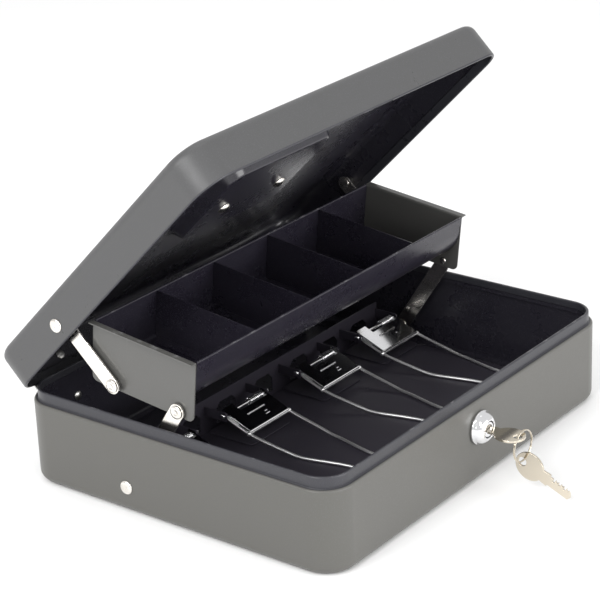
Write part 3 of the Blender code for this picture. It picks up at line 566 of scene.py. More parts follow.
def length(name, description, default):
    return bpy.props.FloatProperty(
        name=name, description=description, default=default, unit="LENGTH", precision=5
    )


def amount(name, description, default, unit="NONE"):
    return bpy.props.FloatProperty(name=name, description=description, default=default, unit=unit)


def colour(name, description, default):
    return bpy.props.FloatVectorProperty(
        name=name, description=description, default=(*default, 1.0), size=4, subtype="COLOR", min=0.0, max=1.0
    )


class CashBoxSizes(bpy.types.PropertyGroup):
    sheet: length("Sheet", "Thickness of the shells' steel", 0.0010)
    tray_sheet: length("Tray sheet", "Thickness of the tray's steel", 0.0008)
    corner: length("Corner radius", "Radius of the upright corners outside", 0.020)
    edge: length("Edge radius", "Radius of the bottom and top edges outside", 0.006)
    step: length("Step height", "Height at which the wall steps in for the lid", 0.0545)
    band: length("Band inset", "How far the rim band stands in from the wall", 0.0026)
    hem: length("Hem", "Thickness of the folded rims", 0.0020)
    lid_top: length("Closed height", "Height of the top of the closed lid", 0.0814)
    well_depth: length("Well depth", "Depth of the handle well", 0.008)
    bale_wire: length("Bale wire", "Radius of the wire of the bill clips", 0.0010)
    spring_wire: length("Spring wire", "Radius of the wire of the clips' springs", 0.00040)
    corner_steps: bpy.props.IntProperty(
        name="Corner steps", description="Faces round each upright corner", default=18, min=4
    )
    edge_steps: bpy.props.IntProperty(
        name="Edge steps", description="Faces round each bottom or top edge", default=8, min=2
    )


class CashBoxFinishes(bpy.types.PropertyGroup):
    outside: colour("Outside", "Enamel of the base outside", (0.099, 0.097, 0.089))
    # The lid's outside is the base's enamel painted darker: painted shade on the lid.
    lid: colour("Lid", "Enamel of the lid outside", (0.070, 0.070, 0.071))
    inside: colour("Inside", "Enamel inside the shells", (0.0160, 0.0145, 0.0215))
    # The insert's enamel is the inside enamel painted darker: painted shade deep in the box.
    insert: colour("Insert", "Enamel of the bill insert", (0.0070, 0.0060, 0.0100))
    tray: colour("Tray", "Enamel of the coin tray", (0.0125, 0.0105, 0.0180))
    # The rim band is the wall's enamel painted darker: painted shade in the stepped band.
    band: colour("Band", "Enamel of the rim band", (0.026, 0.026, 0.032))
    fleck: colour("Flecks", "Light flecks in the enamel", (0.30, 0.30, 0.34))
    dust: colour("Dust", "Film of dust and smudges on the enamel", (0.10, 0.10, 0.11))
    bare_steel: colour("Bare steel", "Where a rim is rubbed through", (0.55, 0.55, 0.56))
    # The tray ends are painted light grey: a painted reflection of the bright surroundings at the left.
    tray_end: colour("Tray ends", "Enamel of the tray's two ends", (0.085, 0.084, 0.079))
    nickel: colour("Nickel", "Plate of links and rivets", (0.86, 0.83, 0.78))
    chrome: colour("Chrome", "Plate of clips and lock", (0.84, 0.84, 0.86))
    wire: colour("Wire", "Bright drawn wire of the bales", (0.95, 0.95, 0.95))
    lock: colour("Lock", "Plate of the lock", (0.60, 0.60, 0.63))
    zinc: colour("Zinc", "Plate of hinges, cam and nut", (0.56, 0.56, 0.55))
    key_metal: colour("Keys", "Plate of keys and ring", (0.78, 0.70, 0.56))
    tarnish: colour("Tarnish", "Tarnish on plated metal", (0.40, 0.36, 0.30))


class CashBoxStudio(bpy.types.PropertyGroup):
    floor: colour("Floor", "The pale floor", (0.93, 0.93, 0.93))
    world: amount("Surroundings", "Strength of the white surroundings", 0.85)
    key_power: amount("Left light", "Power of the left soft light", 15.0, "POWER")
    fill_power: amount("Front light", "Power of the front soft light", 17.0, "POWER")
    top_power: amount("Top light", "Power of the light above", 4.0, "POWER")
    strip_power: amount("Strip lights", "Power of each strip near the camera", 2.5, "POWER")
    lens: amount("Lens", "Focal length of the camera", 129.0, "CAMERA")


# Pieces ---------------------------------------------------------------------------------


class PieceOperator:
    """Shared parts of the operators. Each builds its pieces once."""

    bl_options = {"REGISTER", "UNDO"}

    def execute(self, context):
        self.build(context.scene.cash_box_sizes)
        return {"FINISHED"}


def box_row(inset, z, sizes):
    return (HALF_X - inset, HALF_Y - inset, sizes.corner - inset, 0.0, z)


def rounded_rows(rows, sizes, material):
    return [(box_row(inset, z, sizes), material) for inset, z in rows]


# The third slot holds the rim band's darker enamel: painted shade.
OUTSIDE, INSIDE, BAND_PAINTED_SHADE = 0, 1, 2


class CASHBOX_OT_base(PieceOperator, bpy.types.Operator):
    """The base: a pressed shell with a stepped, hemmed rim band."""

    bl_idname = "cashbox.base"
    bl_label = "Base shell"

    def build(self, sizes):
        bm = bmesh.new()
        edge, sheet, step, hem = sizes.edge, sizes.sheet, sizes.step, sizes.hem
        start = box_row(edge, 0.0, sizes)
        ring = rounded_start(bm, start, sizes.corner_steps)
        low = [(edge - a, edge - b) for a, b in arc((0, 0), edge, 90, 0, sizes.edge_steps)]
        bend = 0.0014
        shoulder = [(bend - a, step - bend + b) for a, b in arc((0, 0), bend, 0, 90, 4)]
        crown = hem / 2
        inner = sizes.band + hem
        band = [(sizes.band - 0.0004, step), (sizes.band, step + 0.0004)]
        rim = [(inner - crown - a, RIM_Z - crown + b) for a, b in arc((0, 0), crown, 0, 180, 8)]
        behind = sizes.band + sheet
        fold = [(inner, RIM_Z - 0.0046), (inner - 0.0003, RIM_Z - 0.0050), (behind, RIM_Z - 0.0050)]
        below = [(behind, step - 0.0006), (sheet + 0.0006, step - sheet)]
        below.append((sheet, step - sheet - 0.0014))
        round_in = edge - sheet
        floor = [(edge - a, edge - b) for a, b in arc((0, 0), round_in, 0, 90, sizes.edge_steps)]
        rows = rounded_rows(low[1:] + shoulder, sizes, OUTSIDE)
        rows += rounded_rows(band + rim[:5], sizes, BAND_PAINTED_SHADE)
        rows += rounded_rows(rim[5:] + fold, sizes, BAND_PAINTED_SHADE)
        rows += rounded_rows(below + floor, sizes, INSIDE)
        grow_rows(bm, ring, start, rows)
        holes = bmesh.new()
        for _, sign in SIDES:
            rod(holes, "X", pivot("lower_link_pivot") + X_AXIS * sign * HALF_X, -0.004, 0.004, RIVET_HOLE)
        rod(holes, "Y", Vector((0, -HALF_Y, middle_of("lock_housing").z)), -0.004, 0.004, LOCK_HOLE)
        bm = cut(bm, holes)
        # The band finish is the darker enamel that stands for painted shade.
        outside, inside, band_painted_shade_finish = finishes_of_case(rim=(RIM_Z - 0.0006, RIM_Z - 0.0001, 0.12))
        piece("base_pressing", bm, "root", ["base_shell"], (outside, inside, band_painted_shade_finish))


class CASHBOX_OT_lid(PieceOperator, bpy.types.Operator):
    """The lid: a pressed shell with a hemmed rim, two slots in its hem and a handle well."""

    bl_idname = "cashbox.lid"
    bl_label = "Lid shell"

    def build(self, sizes):
        bm = bmesh.new()
        edge, sheet, top, hem = sizes.edge, sizes.sheet, sizes.lid_top, sizes.hem
        well = self.well_rows(sizes, 0.0)
        ring = rounded_start(bm, well[0], sizes.corner_steps)
        rim_z = sizes.step + 0.0003
        outer = [(edge - a, top - edge + b) for a, b in arc((0, 0), edge, 90, 0, sizes.edge_steps)]
        crown = hem / 2
        rim = [(crown - a, rim_z + crown - b) for a, b in arc((0, 0), crown, 0, 180, 8)]
        fold = [(hem, rim_z + 0.0056), (hem - 0.0003, rim_z + 0.0060), (sheet, rim_z + 0.0060)]
        inner = [(edge - a, top - edge + b) for a, b in arc((0, 0), edge - sheet, 0, 90, sizes.edge_steps)]
        rows = [(row, OUTSIDE) for row in well[1:]]
        rows += rounded_rows(outer + rim[:1], sizes, OUTSIDE)
        rows += rounded_rows(rim[1:] + fold, sizes, BAND_PAINTED_SHADE)
        rows += rounded_rows(inner, sizes, INSIDE)
        rows += [(row, INSIDE) for row in reversed(self.well_rows(sizes, sheet))]
        grow_rows(bm, ring, well[0], rows)
        bm = cut(bm, self.holes(sizes, rim_z))
        rubbed_all_over = (0.0, 0.001, 0.0)
        finishes = finishes_of_case(-LID_OPEN, tuple(CLOSED.translation), "lid", rubbed_all_over)
        piece("lid_pressing", bm, "lid", ["lid_shell"], finishes, CLOSED)

    def well_rows(self, sizes, under):
        """From the well's floor up its sloping wall to its rolled edge."""
        half_x, half_y, corner, middle_y = 0.052, 0.038, 0.012, -0.010
        top = sizes.lid_top - under
        low = top - sizes.well_depth
        slope, fillet, roll = 0.0030, 0.0012, 0.0022
        rows = [(slope + fillet * 1.2, low), (slope + fillet * 0.35, low + fillet * 0.28)]
        rows += [(slope - fillet * 0.25, low + fillet), (0.0006, top - roll)]
        rows += [(-0.0004, top - roll * 0.45), (-roll * 0.55, top - roll * 0.12), (-roll * 1.3, top)]
        return [
            (half_x - i + under, half_y - i + under, corner - i + under, middle_y, z) for i, z in rows
        ]

    def holes(self, sizes, rim_z):
        holes = bmesh.new()
        for _, sign in SIDES:
            rivet = CLOSED.inverted() @ LID_PIVOT
            rivet.x = sign * HALF_X
            rod(holes, "X", rivet, -0.004, 0.004, RIVET_HOLE)
            front = -HALF_Y + sizes.sheet
            ends = sorted((sign * 0.005, sign * 0.025))
            box(holes, (ends[0], front - 0.00055, rim_z - 0.001), (ends[1], front + 0.00045, rim_z + 0.0035))
        return holes


def trough_line(sizes, inset, hems=False):
    """The trough's section about the front pivot: lip, scoop, floor and rear wall."""
    front, rear, top, down = -0.0108 + inset, 0.0672 - inset, TRAY_TOP, 0.0326
    floor = top - down + inset
    scoop, bend = 0.022 - inset, 0.003 - min(inset, 0.002)
    points = arc((front + scoop, floor + scoop), scoop, 180, 270, 16)
    points += arc((rear - bend, floor + bend), bend, 270, 360, 6)
    if not hems:
        return [Vector((front, top)), *points, Vector((rear, top))]
    fold = sizes.tray_sheet * 0.62
    crown = top - fold - sizes.tray_sheet / 2
    lip = [Vector((front - 2 * fold, top - 0.006))] + arc((front - fold, crown), fold, 180, 0, 6)
    back = arc((rear + fold, crown), fold, 180, 0, 6) + [Vector((rear + 2 * fold, top - 0.006))]
    return lip + points + back


class CASHBOX_OT_tray(PieceOperator, bpy.types.Operator):
    """The coin tray: scooped trough, two flanged ends and four dividers."""

    bl_idname = "cashbox.tray"
    bl_label = "Coin tray"

    def build(self, sizes):
        finish = inner_enamel("tray_enamel", TRAY_TILT, (*TRAY_RUB, 0.14), tuple(TRAY_AXIS))
        sheet = sizes.tray_sheet
        half = 0.1382
        bm = extruded(ribbon(trough_line(sizes, sheet / 2, True), sheet), "X", -half, half)
        piece("tray_pressing", bm, "tray", ["tray_trough"], (finish,), TRAY)
        for side, sign in SIDES:
            self.end_plate(side, sign, sizes)
        for number in CLIPS:
            self.divider(number, sizes, finish)

    def end_plate(self, side, sign, sizes):
        colours = bpy.context.scene.cash_box_finishes
        # The tray ends' light grey enamel is a painted reflection of the bright surroundings at the left.
        finish = enamel(
            "tray_end_enamel", colours.tray_end, 0.30, 0.12, 0.1, turn=TRAY_TILT,
            rim=(*TRAY_RUB, 0.12), centre=tuple(TRAY_AXIS), wave=0.0014,
        )
        sheet, top, tall, bend = sizes.tray_sheet, TRAY_TOP, 0.040, 0.0011
        plane = 0.1389
        points = [Vector((0.1437, top - sheet / 2 + 0.0001))]
        points += arc((plane + bend, top - sheet / 2 - bend), bend, 90, 180, 5)
        points.append(Vector((plane, top - tall)))
        bm = bmesh.new()
        outline = [(sign * x, z) for x, z in ribbon(points, sheet)]
        front, rear = -0.0112, 0.0676
        prism(bm, outline, "Y", front, rear)
        low = top - tall + 0.0002
        corners = [
            edge
            for edge in bm.edges
            if all(v.co.z < low for v in edge.verts)
            and abs(edge.verts[0].co.x - edge.verts[1].co.x) > sheet / 2
        ]
        round_edges(bm, corners, 0.004, 6)
        holes = bmesh.new()
        for along in (0.0, TRAY_SPAN.length):
            rod(holes, "X", Vector((sign * plane, along, 0)), -0.003, 0.003, RIVET_HOLE)
        bm = cut(bm, holes)
        nodes = ["tray_end_plate_" + side]
        piece("tray_end_" + side, bm, "tray", nodes, (finish,), TRAY, 0.00015)

    def divider(self, number, sizes, finish):
        """A wall shaped to the trough, with a foot on its left and a weld on the foot."""
        sheet = sizes.tray_sheet
        inset = sheet + 0.0003
        outline = trough_line(sizes, inset)
        top = 0.0354
        outline[0].y = outline[-1].y = top
        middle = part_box("coin_divider_%d" % number)[1].x - sheet / 2
        bm = extruded(outline, "X", middle - sheet / 2, middle + sheet / 2)
        floor = 0.0034 + inset
        foot = bmesh.new()
        box(foot, (middle - 0.008, 0.0132, floor), (middle, 0.0612, floor + sheet))
        bm = join(bm, foot)
        welds = bmesh.new()
        for along in (0.0225, 0.0505):
            profile = [(0.0, 0), (0.0, 0.0017), (sheet + 0.00010, 0.0015)]
            profile += [(sheet + 0.00022, 0.0009), (sheet + 0.00016, 0)]
            turned(welds, profile, "Z", Vector((middle - 0.0045, along, floor + 0.0001)), 20)
        bm = join(bm, welds)
        name = "coin_divider_%d" % number
        piece(name + "_wall", bm, "tray", [name], (finish,), TRAY)


class CASHBOX_OT_links(PieceOperator, bpy.types.Operator):
    """The four link bars and the eight rivets that they turn on."""

    bl_idname = "cashbox.links"
    bl_label = "Links and rivets"

    def build(self, sizes):
        metal = nickel()
        lower, upper = pivot("lower_link_pivot"), pivot("tray_rear_pivot")
        for side, sign in SIDES:
            self.bar("lower_link_" + side, lower, LOWER_LINK, RIVET_HOLE, "lower_links", metal)
            self.bar("upper_link_" + side, upper, UPPER_LINK, OPEN_HOLE, "upper_links", metal)
            inner, outer = (
                min(abs(corner.x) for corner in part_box(bar + side))
                for bar in ("lower_link_", "upper_link_")
            )
            self.wall_rivet("base_link_rivet_" + side, sign, lower, inner, "root", metal)
            self.wall_rivet("lid_link_rivet_" + side, sign, LID_PIVOT, outer, "lid", metal)
            self.tray_rivet("tray_rivet_front_" + side, sign, TRAY_AXIS, inner, metal)
            self.tray_rivet("tray_rivet_rear_" + side, sign, upper, outer, metal)

    def bar(self, name, start, span, far_hole, body, metal):
        long, half = span.length, LINK_HALF_WIDE
        outline = arc((long, 0), half, -90, 90, 24) + arc((0, 0), half, 90, 270, 24)
        low, high = (corner.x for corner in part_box(name))
        bm = extruded(outline, "X", low, high)
        holes = bmesh.new()
        for along, radius in ((0.0, RIVET_HOLE), (long, far_hole)):
            rod(holes, "X", Vector((low, along, 0)), -0.003, 0.005, radius)
        bm = cut(bm, holes)
        place = Matrix.Translation(start) @ Matrix.Rotation(math.atan2(span.z, span.y), 4, "X")
        piece(name + "_bar", bm, body, [name], (metal,), place, 0.00025)

    def wall_rivet(self, name, sign, centre, link_x, body, metal):
        out, head, near, far = HALF_X, 0.0045, link_x - 0.0007, link_x + 0.0018
        profile = [
            (near, 0), (near, 0.0034), (near + 0.0001, 0.0037), (near + 0.0004, 0.0038),
            (near + 0.0005, 0.0036), (near + 0.0005, 0.0022), (far, 0.0022),
            (far, 0.0035), (out - 0.0013, 0.0035),
            (out - 0.0013, 0.0022), (out + 0.0003, 0.0022), (out + 0.0003, head),
            (out + 0.0006, head - 0.0001), (out + 0.0011, head - 0.0005), (out + 0.0014, head - 0.0013),
            (out + 0.0014, 0.0012), (out + 0.0011, 0.0008), (out + 0.0011, 0),
        ]
        bm = lathe([(sign * x, r) for x, r in profile], "X", Vector((0, *centre.yz)))
        piece(name + "_turned", bm, body, [name], (metal,), angle=50)

    def tray_rivet(self, name, sign, centre, link_x, metal):
        far = link_x + 0.0018
        profile = [
            (0.1374, 0), (0.1374, 0.0016), (0.1376, 0.0022), (0.1380, 0.0025), (0.1382, 0.0025),
            (0.1382, 0.0022), (far, 0.0022), (far, 0.0041),
            (far + 0.0002, 0.0042), (far + 0.0004, 0.0041),
            (far + 0.0007, 0.0034), (far + 0.0009, 0.0026), (far + 0.0009, 0.0019),
            (far + 0.0006, 0.0016),
            (far + 0.0006, 0),
        ]
        bm = lathe([(sign * x, r) for x, r in profile], "X", Vector((0, *centre.yz)))
        piece(name + "_turned", bm, "tray", [name], (metal,), angle=50)


class CASHBOX_OT_insert(PieceOperator, bpy.types.Operator):
    """The bill insert: its raised floor, the pierced wall and a pad under each clip."""

    bl_idname = "cashbox.insert"
    bl_label = "Bill insert"

    def build(self, sizes):
        # The insert's enamel is painted darker, as painted shade deep in the box.
        finish = inner_enamel()
        low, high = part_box("bill_floor")
        sheet, bend = sizes.sheet, 0.0018
        half, top = high.x - sheet / 2, high.z - sheet / 2
        points = [Vector((-half, low.z)), *arc((-half + bend, top - bend), bend, 180, 90, 6)]
        points += [*arc((half - bend, top - bend), bend, 90, 0, 6), Vector((half, low.z))]
        bm = extruded(ribbon(points, sheet), "Y", low.y, high.y)
        piece("bill_floor_sheet", bm, "root", ["bill_floor"], (finish,))
        self.wall(sizes, finish)
        for number in CLIPS:
            self.pad(number, finish, high.z)

    def wall(self, sizes, finish):
        low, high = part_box("bill_partition")
        thick = sizes.sheet
        front, rear = high.y - thick, high.y
        bm = bmesh.new()
        box(bm, (low.x, front, low.z), (high.x, rear, high.z))
        lugs = bmesh.new()
        places = [pivot("clip_%d_lift" % n) for n in CLIPS]
        lug = sizes.tray_sheet / 2
        for place in places:
            for sign in (-1, 1):
                x = place.x + sign * 0.02115
                outline = [(rear - 0.0003, 0.0225), (rear - 0.0003, 0.0285)]
                outline += arc((low.y + 0.0020, 0.0265), 0.0020, 90, 180, 5) + [(low.y, 0.0225)]
                prism(lugs, outline, "X", x - lug, x + lug)
        bm = join(bm, lugs)
        windows = bmesh.new()
        middles = [(a.x + b.x) / 2 for a, b in zip(places, places[1:])] + [p.x for p in places]
        for x in middles:
            half, base, head, chop = 0.010, 0.012, 0.026, 0.004
            outline = [(x - half, base), (x + half, base), (x + half, head - chop)]
            outline += [(x + half - chop, head), (x - half + chop, head), (x - half, head - chop)]
            prism(windows, outline, "Y", front - 0.002, rear + 0.002)
        bm = cut(bm, windows)
        bm = drilled(bm, "X", Vector((0, *places[0].yz)), -0.15, 0.15, 0.0016)
        piece("bill_partition_wall", bm, "root", ["bill_partition"], (finish,))

    def pad(self, number, finish, floor):
        """A thin pressed pad, with two spot welds in front of it."""
        centre = pivot("clip_%d_lift" % number)
        bm = bmesh.new()
        low = (centre.x - 0.0205, 0.0145, floor + 0.0002)
        verts = box(bm, low, (centre.x + 0.0205, 0.0505, floor + 0.0011))
        upright = {e for v in verts for e in v.link_edges if abs(e.verts[0].co.z - e.verts[1].co.z) > 1e-4}
        round_edges(bm, list(upright), 0.003, 5)
        piece("clip_pad_%d" % number, bm, "root", (), (finish,), None, 0.0002)
        for side, sign in SIDES:
            bm = bmesh.new()
            spot = Vector((centre.x + sign * 0.012, 0.004, floor))
            rise = [(-0.0001, 0), (-0.0001, 0.0016), (0.0001, 0.0013), (0.0002, 0.0006), (0.0001, 0)]
            turned(bm, rise, "Z", spot, 18)
            piece("spot_weld_%d_%s" % (number, side), bm, "root", (), (finish,))


class CASHBOX_OT_clips(PieceOperator, bpy.types.Operator):
    """The bill clips: plate, wire bale, cross bar, axle and torsion spring of each."""

    bl_idname = "cashbox.clips"
    bl_label = "Bill clips"

    def build(self, sizes):
        colours = bpy.context.scene.cash_box_finishes
        metal = plated("clip_chrome", colours.chrome, 0.14, 0.12, 0.2, 0.000002)
        drawn = plated("drawn_wire", colours.wire, 0.38, 0.10, 0.2, 0.000002)
        for number in CLIPS:
            axis = Matrix.Translation(pivot("clip_%d_lift" % number))
            self.plate(number, axis, metal, sizes)
            self.bale(number, axis, drawn, sizes)
            self.axle(number, axis, metal)
            self.spring(number, axis, metal, sizes)

    def plate(self, number, axis, metal, sizes):
        sheet, half = sizes.tray_sheet, 0.0195
        front, rear = Vector((-0.0188, -0.0056)), Vector((0.0025, 0.0029))
        slope = (rear - front).normalized()
        up = Vector((-slope.y, slope.x))
        bm = bmesh.new()
        nose = arc(front - slope * 0.0008 - up * 0.0013, 0.0013, 205, 90, 6)
        prism(bm, ribbon([*nose, front + slope * 0.001, rear], sheet), "X", -half, half)
        extras = bmesh.new()
        ear_start = front + slope * 0.008
        for sign in (-1, 1):
            ends = sorted((sign * half, sign * (half - sheet)))
            outline = [ear_start, rear, Vector((0.0032, 0.0)), *arc((0, 0), 0.0030, -5, -140, 8)]
            outline.append(ear_start - up * 0.0022)
            prism(extras, outline, "X", *ends)
        bm = join(bm, extras)
        raised = bmesh.new()
        self.rib(raised, front + slope * 0.0105 + up * sheet * 0.35, 0.0085)
        bm = join(bm, raised)
        loop = bmesh.new()
        spot = front + slope * 0.0052 + up * sheet * 0.35
        turn = Matrix.Translation((0.0045, *spot)) @ Matrix.Rotation(math.atan2(slope.y, slope.x), 4, "X")
        mark = arc((0, 0), 0.0025, 45, 405, 4)[:-1]
        prism(loop, [(p.x, p.y * 0.8) for p in mark], "Z", -0.0003, 0.0006)
        core = extruded([(p.x * 0.62, p.y * 0.5) for p in mark], "Z", -0.002, 0.002)
        loop = cut(loop, core)
        loop.transform(turn)
        bm = join(bm, loop)
        notch = bmesh.new()
        box(notch, (-0.0095, -0.0045, -0.004), (0.0180, 0.007, 0.008))
        bm = cut(bm, notch)
        bm = drilled(bm, "X", Vector((0, 0, 0)), -0.03, 0.03, 0.0015)
        name = "clip_plate_%d" % number
        piece(name + "_pressing", bm, "clip_%d" % number, [name], (metal,), axis)

    def rib(self, bm, spot, half):
        """A long raised rib across the plate with round ends."""
        radius = 0.0009
        rise = [(-half, 0)] + [(-half + radius - a, b) for a, b in arc((0, 0), radius, 0, 90, 6)][1:]
        rise += [(half - radius + a, b) for a, b in arc((0, 0), radius, 90, 0, 6)][:-1] + [(half, 0)]
        turned(bm, rise, "X", Vector((0.0, *spot)), 16)

    def bale(self, number, axis, metal, sizes):
        """Two legs along the plate, down to the floor, closing in to a round nose."""
        radius = sizes.bale_wire
        name = "clip_bale_%d" % number
        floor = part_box(name)[0].z + radius - pivot("clip_%d_lift" % number).z
        nose_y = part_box(name)[0].y + 2 * radius - pivot("clip_%d_lift" % number).y
        right = [
            (0.0170, -0.0012, -0.0012), (0.0192, -0.0018, -0.0010), (0.0203, -0.0034, -0.0016),
            (0.0205, -0.0080, -0.0034), (0.0205, -0.0195, -0.0078), (0.0199, -0.0340, -0.0107),
            (0.0190, -0.0480, -0.0132), (0.0182, -0.0560, floor), (0.0170, -0.0640, floor),
            (0.0138, -0.0760, floor), (0.0112, -0.0870, floor), (0.0102, -0.0960, floor),
            (0.0100, -0.1100, floor), (0.0100, -0.1250, floor),
            (0.0100, nose_y + 0.0090, floor), (0.0092, nose_y + 0.0028, floor), (0.0050, nose_y, floor),
        ]
        left = [(-x, y, z) for x, y, z in reversed(right)]
        body = "clip_%d" % number
        wire(name + "_wire", right + left, radius, body, "clip_chrome", [name], metal, axis)
        bar = [(-0.0206, -0.0200, -0.0074), (0.0206, -0.0200, -0.0074)]
        bar_name = "clip_cross_bar_%d" % number
        wire(bar_name, bar, radius * 0.95, body, "clip_chrome", (), metal, axis, smooth=False)
        for side, sign in SIDES:
            bm = bmesh.new()
            spot = Vector((sign * 0.0205, -0.0198, -0.0076))
            turned(bm, [(p.x, p.y) for p in arc((0, 0), 0.0016, 180, 0, 12)], "X", spot, 20)
            piece("clip_knot_%d_%s" % (number, side), bm, body, (), (metal,), axis)

    def axle(self, number, axis, metal):
        half, radius, cap = 0.02245, 0.0013, 0.0019
        end = [(half, radius), (half, cap), (half + 0.0006, cap - 0.0002)]
        end += [(half + 0.0010, 0.0010), (half + 0.0011, 0)]
        profile = [(-x, r) for x, r in reversed(end)] + end
        bm = lathe(profile, "X", Vector((0, 0, 0)), 24)
        name = "clip_axle_%d" % number
        piece(name + "_turned", bm, "root", [name], (metal,), axis)

    def spring(self, number, axis, metal, sizes):
        """Coils round the axle, with one leg down behind it."""
        name = "clip_spring_%d" % number
        low, high = (corner.x - pivot("clip_%d_lift" % number).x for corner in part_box(name))
        radius, turns, steps = 0.0024, 11, 18
        points = []
        for i in range(turns * steps + 1):
            turn = math.tau * i / steps + math.radians(100)
            x = low + sizes.spring_wire + (high - low - 2 * sizes.spring_wire) * i / (turns * steps)
            points.append((x, -radius * math.cos(turn), radius * math.sin(turn)))
        points.append((points[-1][0], 0.0024, -0.0026))
        wire(name + "_coil", points, sizes.spring_wire, "root", "zinc", [name], metal, axis, smooth=False)


class CASHBOX_OT_lock(PieceOperator, bpy.types.Operator):
    """The cam lock: housing with its domed bezel, plug, nut, cam and screw."""

    bl_idname = "cashbox.lock"
    bl_label = "Lock"

    def build(self, sizes):
        metal = plated("lock_chrome", bpy.context.scene.cash_box_finishes.lock, 0.13, 0.35, 0.2, 0.000002)
        centre = pivot("lock_turn")
        centre.y = 0.0
        low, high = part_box("lock_housing")
        face, rear = low.y, high.y
        wall = -HALF_Y - 0.0003
        bezel = [
            (rear, 0.0053), (rear, 0.0088), (rear - 0.0004, 0.0092), (wall, 0.0092), (wall, 0.0108),
            (wall - 0.0003, 0.0110), (wall - 0.0011, 0.0110), (wall - 0.0016, 0.0108),
            (wall - 0.0020, 0.0103),
            (wall - 0.0030, 0.0100), (wall - 0.0042, 0.0094), (wall - 0.0054, 0.0085),
            (wall - 0.0063, 0.0075),
            (face + 0.0002, 0.0066), (face, 0.0062), (face, 0.0057),
            (face + 0.0004, 0.0053), (rear, 0.0053),
        ]
        bm = lathe(bezel, "Y", centre, 72)
        piece("lock_bezel", bm, "root", ["lock_housing"], (metal,), angle=50)
        self.plug(centre, metal)
        self.nut(centre, wall + sizes.sheet + 0.0006)
        self.cam(centre)

    def plug(self, centre, metal):
        low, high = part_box("lock_plug")
        nose = low.y
        profile = [
            (nose + 0.0004, 0), (nose + 0.0004, 0.0030), (nose, 0.0034),
            (nose, 0.0046), (nose + 0.0004, 0.0050),
            (high.y, 0.0050), (high.y, 0),
        ]
        bm = lathe(profile, "Y", centre, 56)
        keyway = bmesh.new()
        box(keyway, (-0.0035, nose - 0.002, centre.z - 0.0010), (0.0035, nose + 0.0165, centre.z + 0.0010))
        bm = cut(bm, keyway)
        piece("lock_plug_turned", bm, "lock_plug", ["lock_plug"], (metal,), angle=50)

    def nut(self, centre, near):
        bm = bmesh.new()
        corner, thick = 0.0135, 0.003
        made = bmesh.ops.create_cone(
            bm, cap_ends=True, segments=6, radius1=corner, radius2=corner, depth=thick
        )
        bmesh.ops.rotate(bm, cent=(0, 0, 0), matrix=Matrix.Rotation(math.pi / 2, 3, "X"), verts=made["verts"])
        bmesh.ops.translate(bm, vec=(centre.x, near + 0.0015, centre.z), verts=made["verts"])
        bm = drilled(bm, "Y", Vector((0, near, centre.z)), -0.003, 0.007, LOCK_HOLE, 48)
        piece("lock_nut_hex", bm, "root", ["lock_nut"], (zinc(),), None, 0.0004)

    def cam(self, centre):
        low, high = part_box("lock_cam")
        half, reach, hook = 0.004, -low.x, 0.008
        outline = arc((0, 0), half, -90, 90, 14)
        outline += arc((-reach + 0.0050, half + 0.0015), 0.0015, 270, 180, 5)
        outline += [(-reach + 0.0035, half + hook), (-reach + 0.0012, half + hook)]
        outline.append((-reach, half + hook - 0.0015))
        outline += arc((-reach + 0.003, -half + 0.003), 0.003, 180, 270, 5)
        bm = extruded([(x, z + centre.z) for x, z in outline], "Y", low.y, high.y)
        bm = drilled(bm, "Y", Vector((0, low.y, centre.z)), -0.002, 0.006, 0.0018)
        piece("lock_cam_bar", bm, "lock_plug", ["lock_cam"], (zinc(),), None, 0.0002)
        near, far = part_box("cam_screw")[0].y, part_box("cam_screw")[1].y
        head = high.y + 0.0003
        profile = [
            (near, 0), (near, 0.0015), (head, 0.0015), (head, 0.0031), (head + 0.0006, 0.0031),
            (far - 0.0005, 0.0026), (far - 0.0001, 0.0016), (far, 0),
        ]
        bm = lathe(profile, "Y", centre, 32)
        slots = bmesh.new()
        box(slots, (-0.0004, far - 0.0009, centre.z - 0.0022), (0.0004, far + 0.001, centre.z + 0.0022))
        bm = cut(bm, slots)
        slots = bmesh.new()
        box(slots, (-0.0022, far - 0.0009, centre.z - 0.0004), (0.0022, far + 0.001, centre.z + 0.0004))
        bm = cut(bm, slots)
        piece("cam_screw_turned", bm, "lock_plug", ["cam_screw"], (zinc(),))


def key_outline(tip, shoulder, bow_middle):
    """A flat key along its length: cut blade, shoulders and oval bow."""
    side = 1 if tip > bow_middle else -1
    cuts = (0.0010, 0.0019, 0.0005, 0.0016, 0.0008, 0.0021)
    blade = [(tip, -0.0008), (tip - side * 0.0012, HALF_BLADE - 0.0014)]
    run = abs(tip - shoulder) - 0.0045
    for i, deep in enumerate(cuts):
        at = tip - side * (0.0024 + run * (i + 0.5) / len(cuts))
        wide = run / len(cuts) * 0.22
        blade += [(at + side * wide * 1.9, HALF_BLADE), (at + side * wide, HALF_BLADE - deep)]
        blade += [(at - side * wide, HALF_BLADE - deep), (at - side * wide * 1.9, HALF_BLADE)]
    bow = [
        (bow_middle + side * BOW_HALF_LONG * p.x, BOW_HALF_WIDE * p.y) for p in arc((0, 0), 1.0, 26, 334, 48)
    ]
    heel_back, heel_wide = shoulder - side * 0.0016, HALF_BLADE + 0.0012
    heel = [(shoulder, HALF_BLADE), (shoulder, heel_wide), (heel_back, heel_wide)]
    heel_below = [(heel_back, -heel_wide), (shoulder, -heel_wide)]
    return blade + heel + bow + heel_below + [(shoulder, -HALF_BLADE), (tip - side * 0.0014, -HALF_BLADE)]


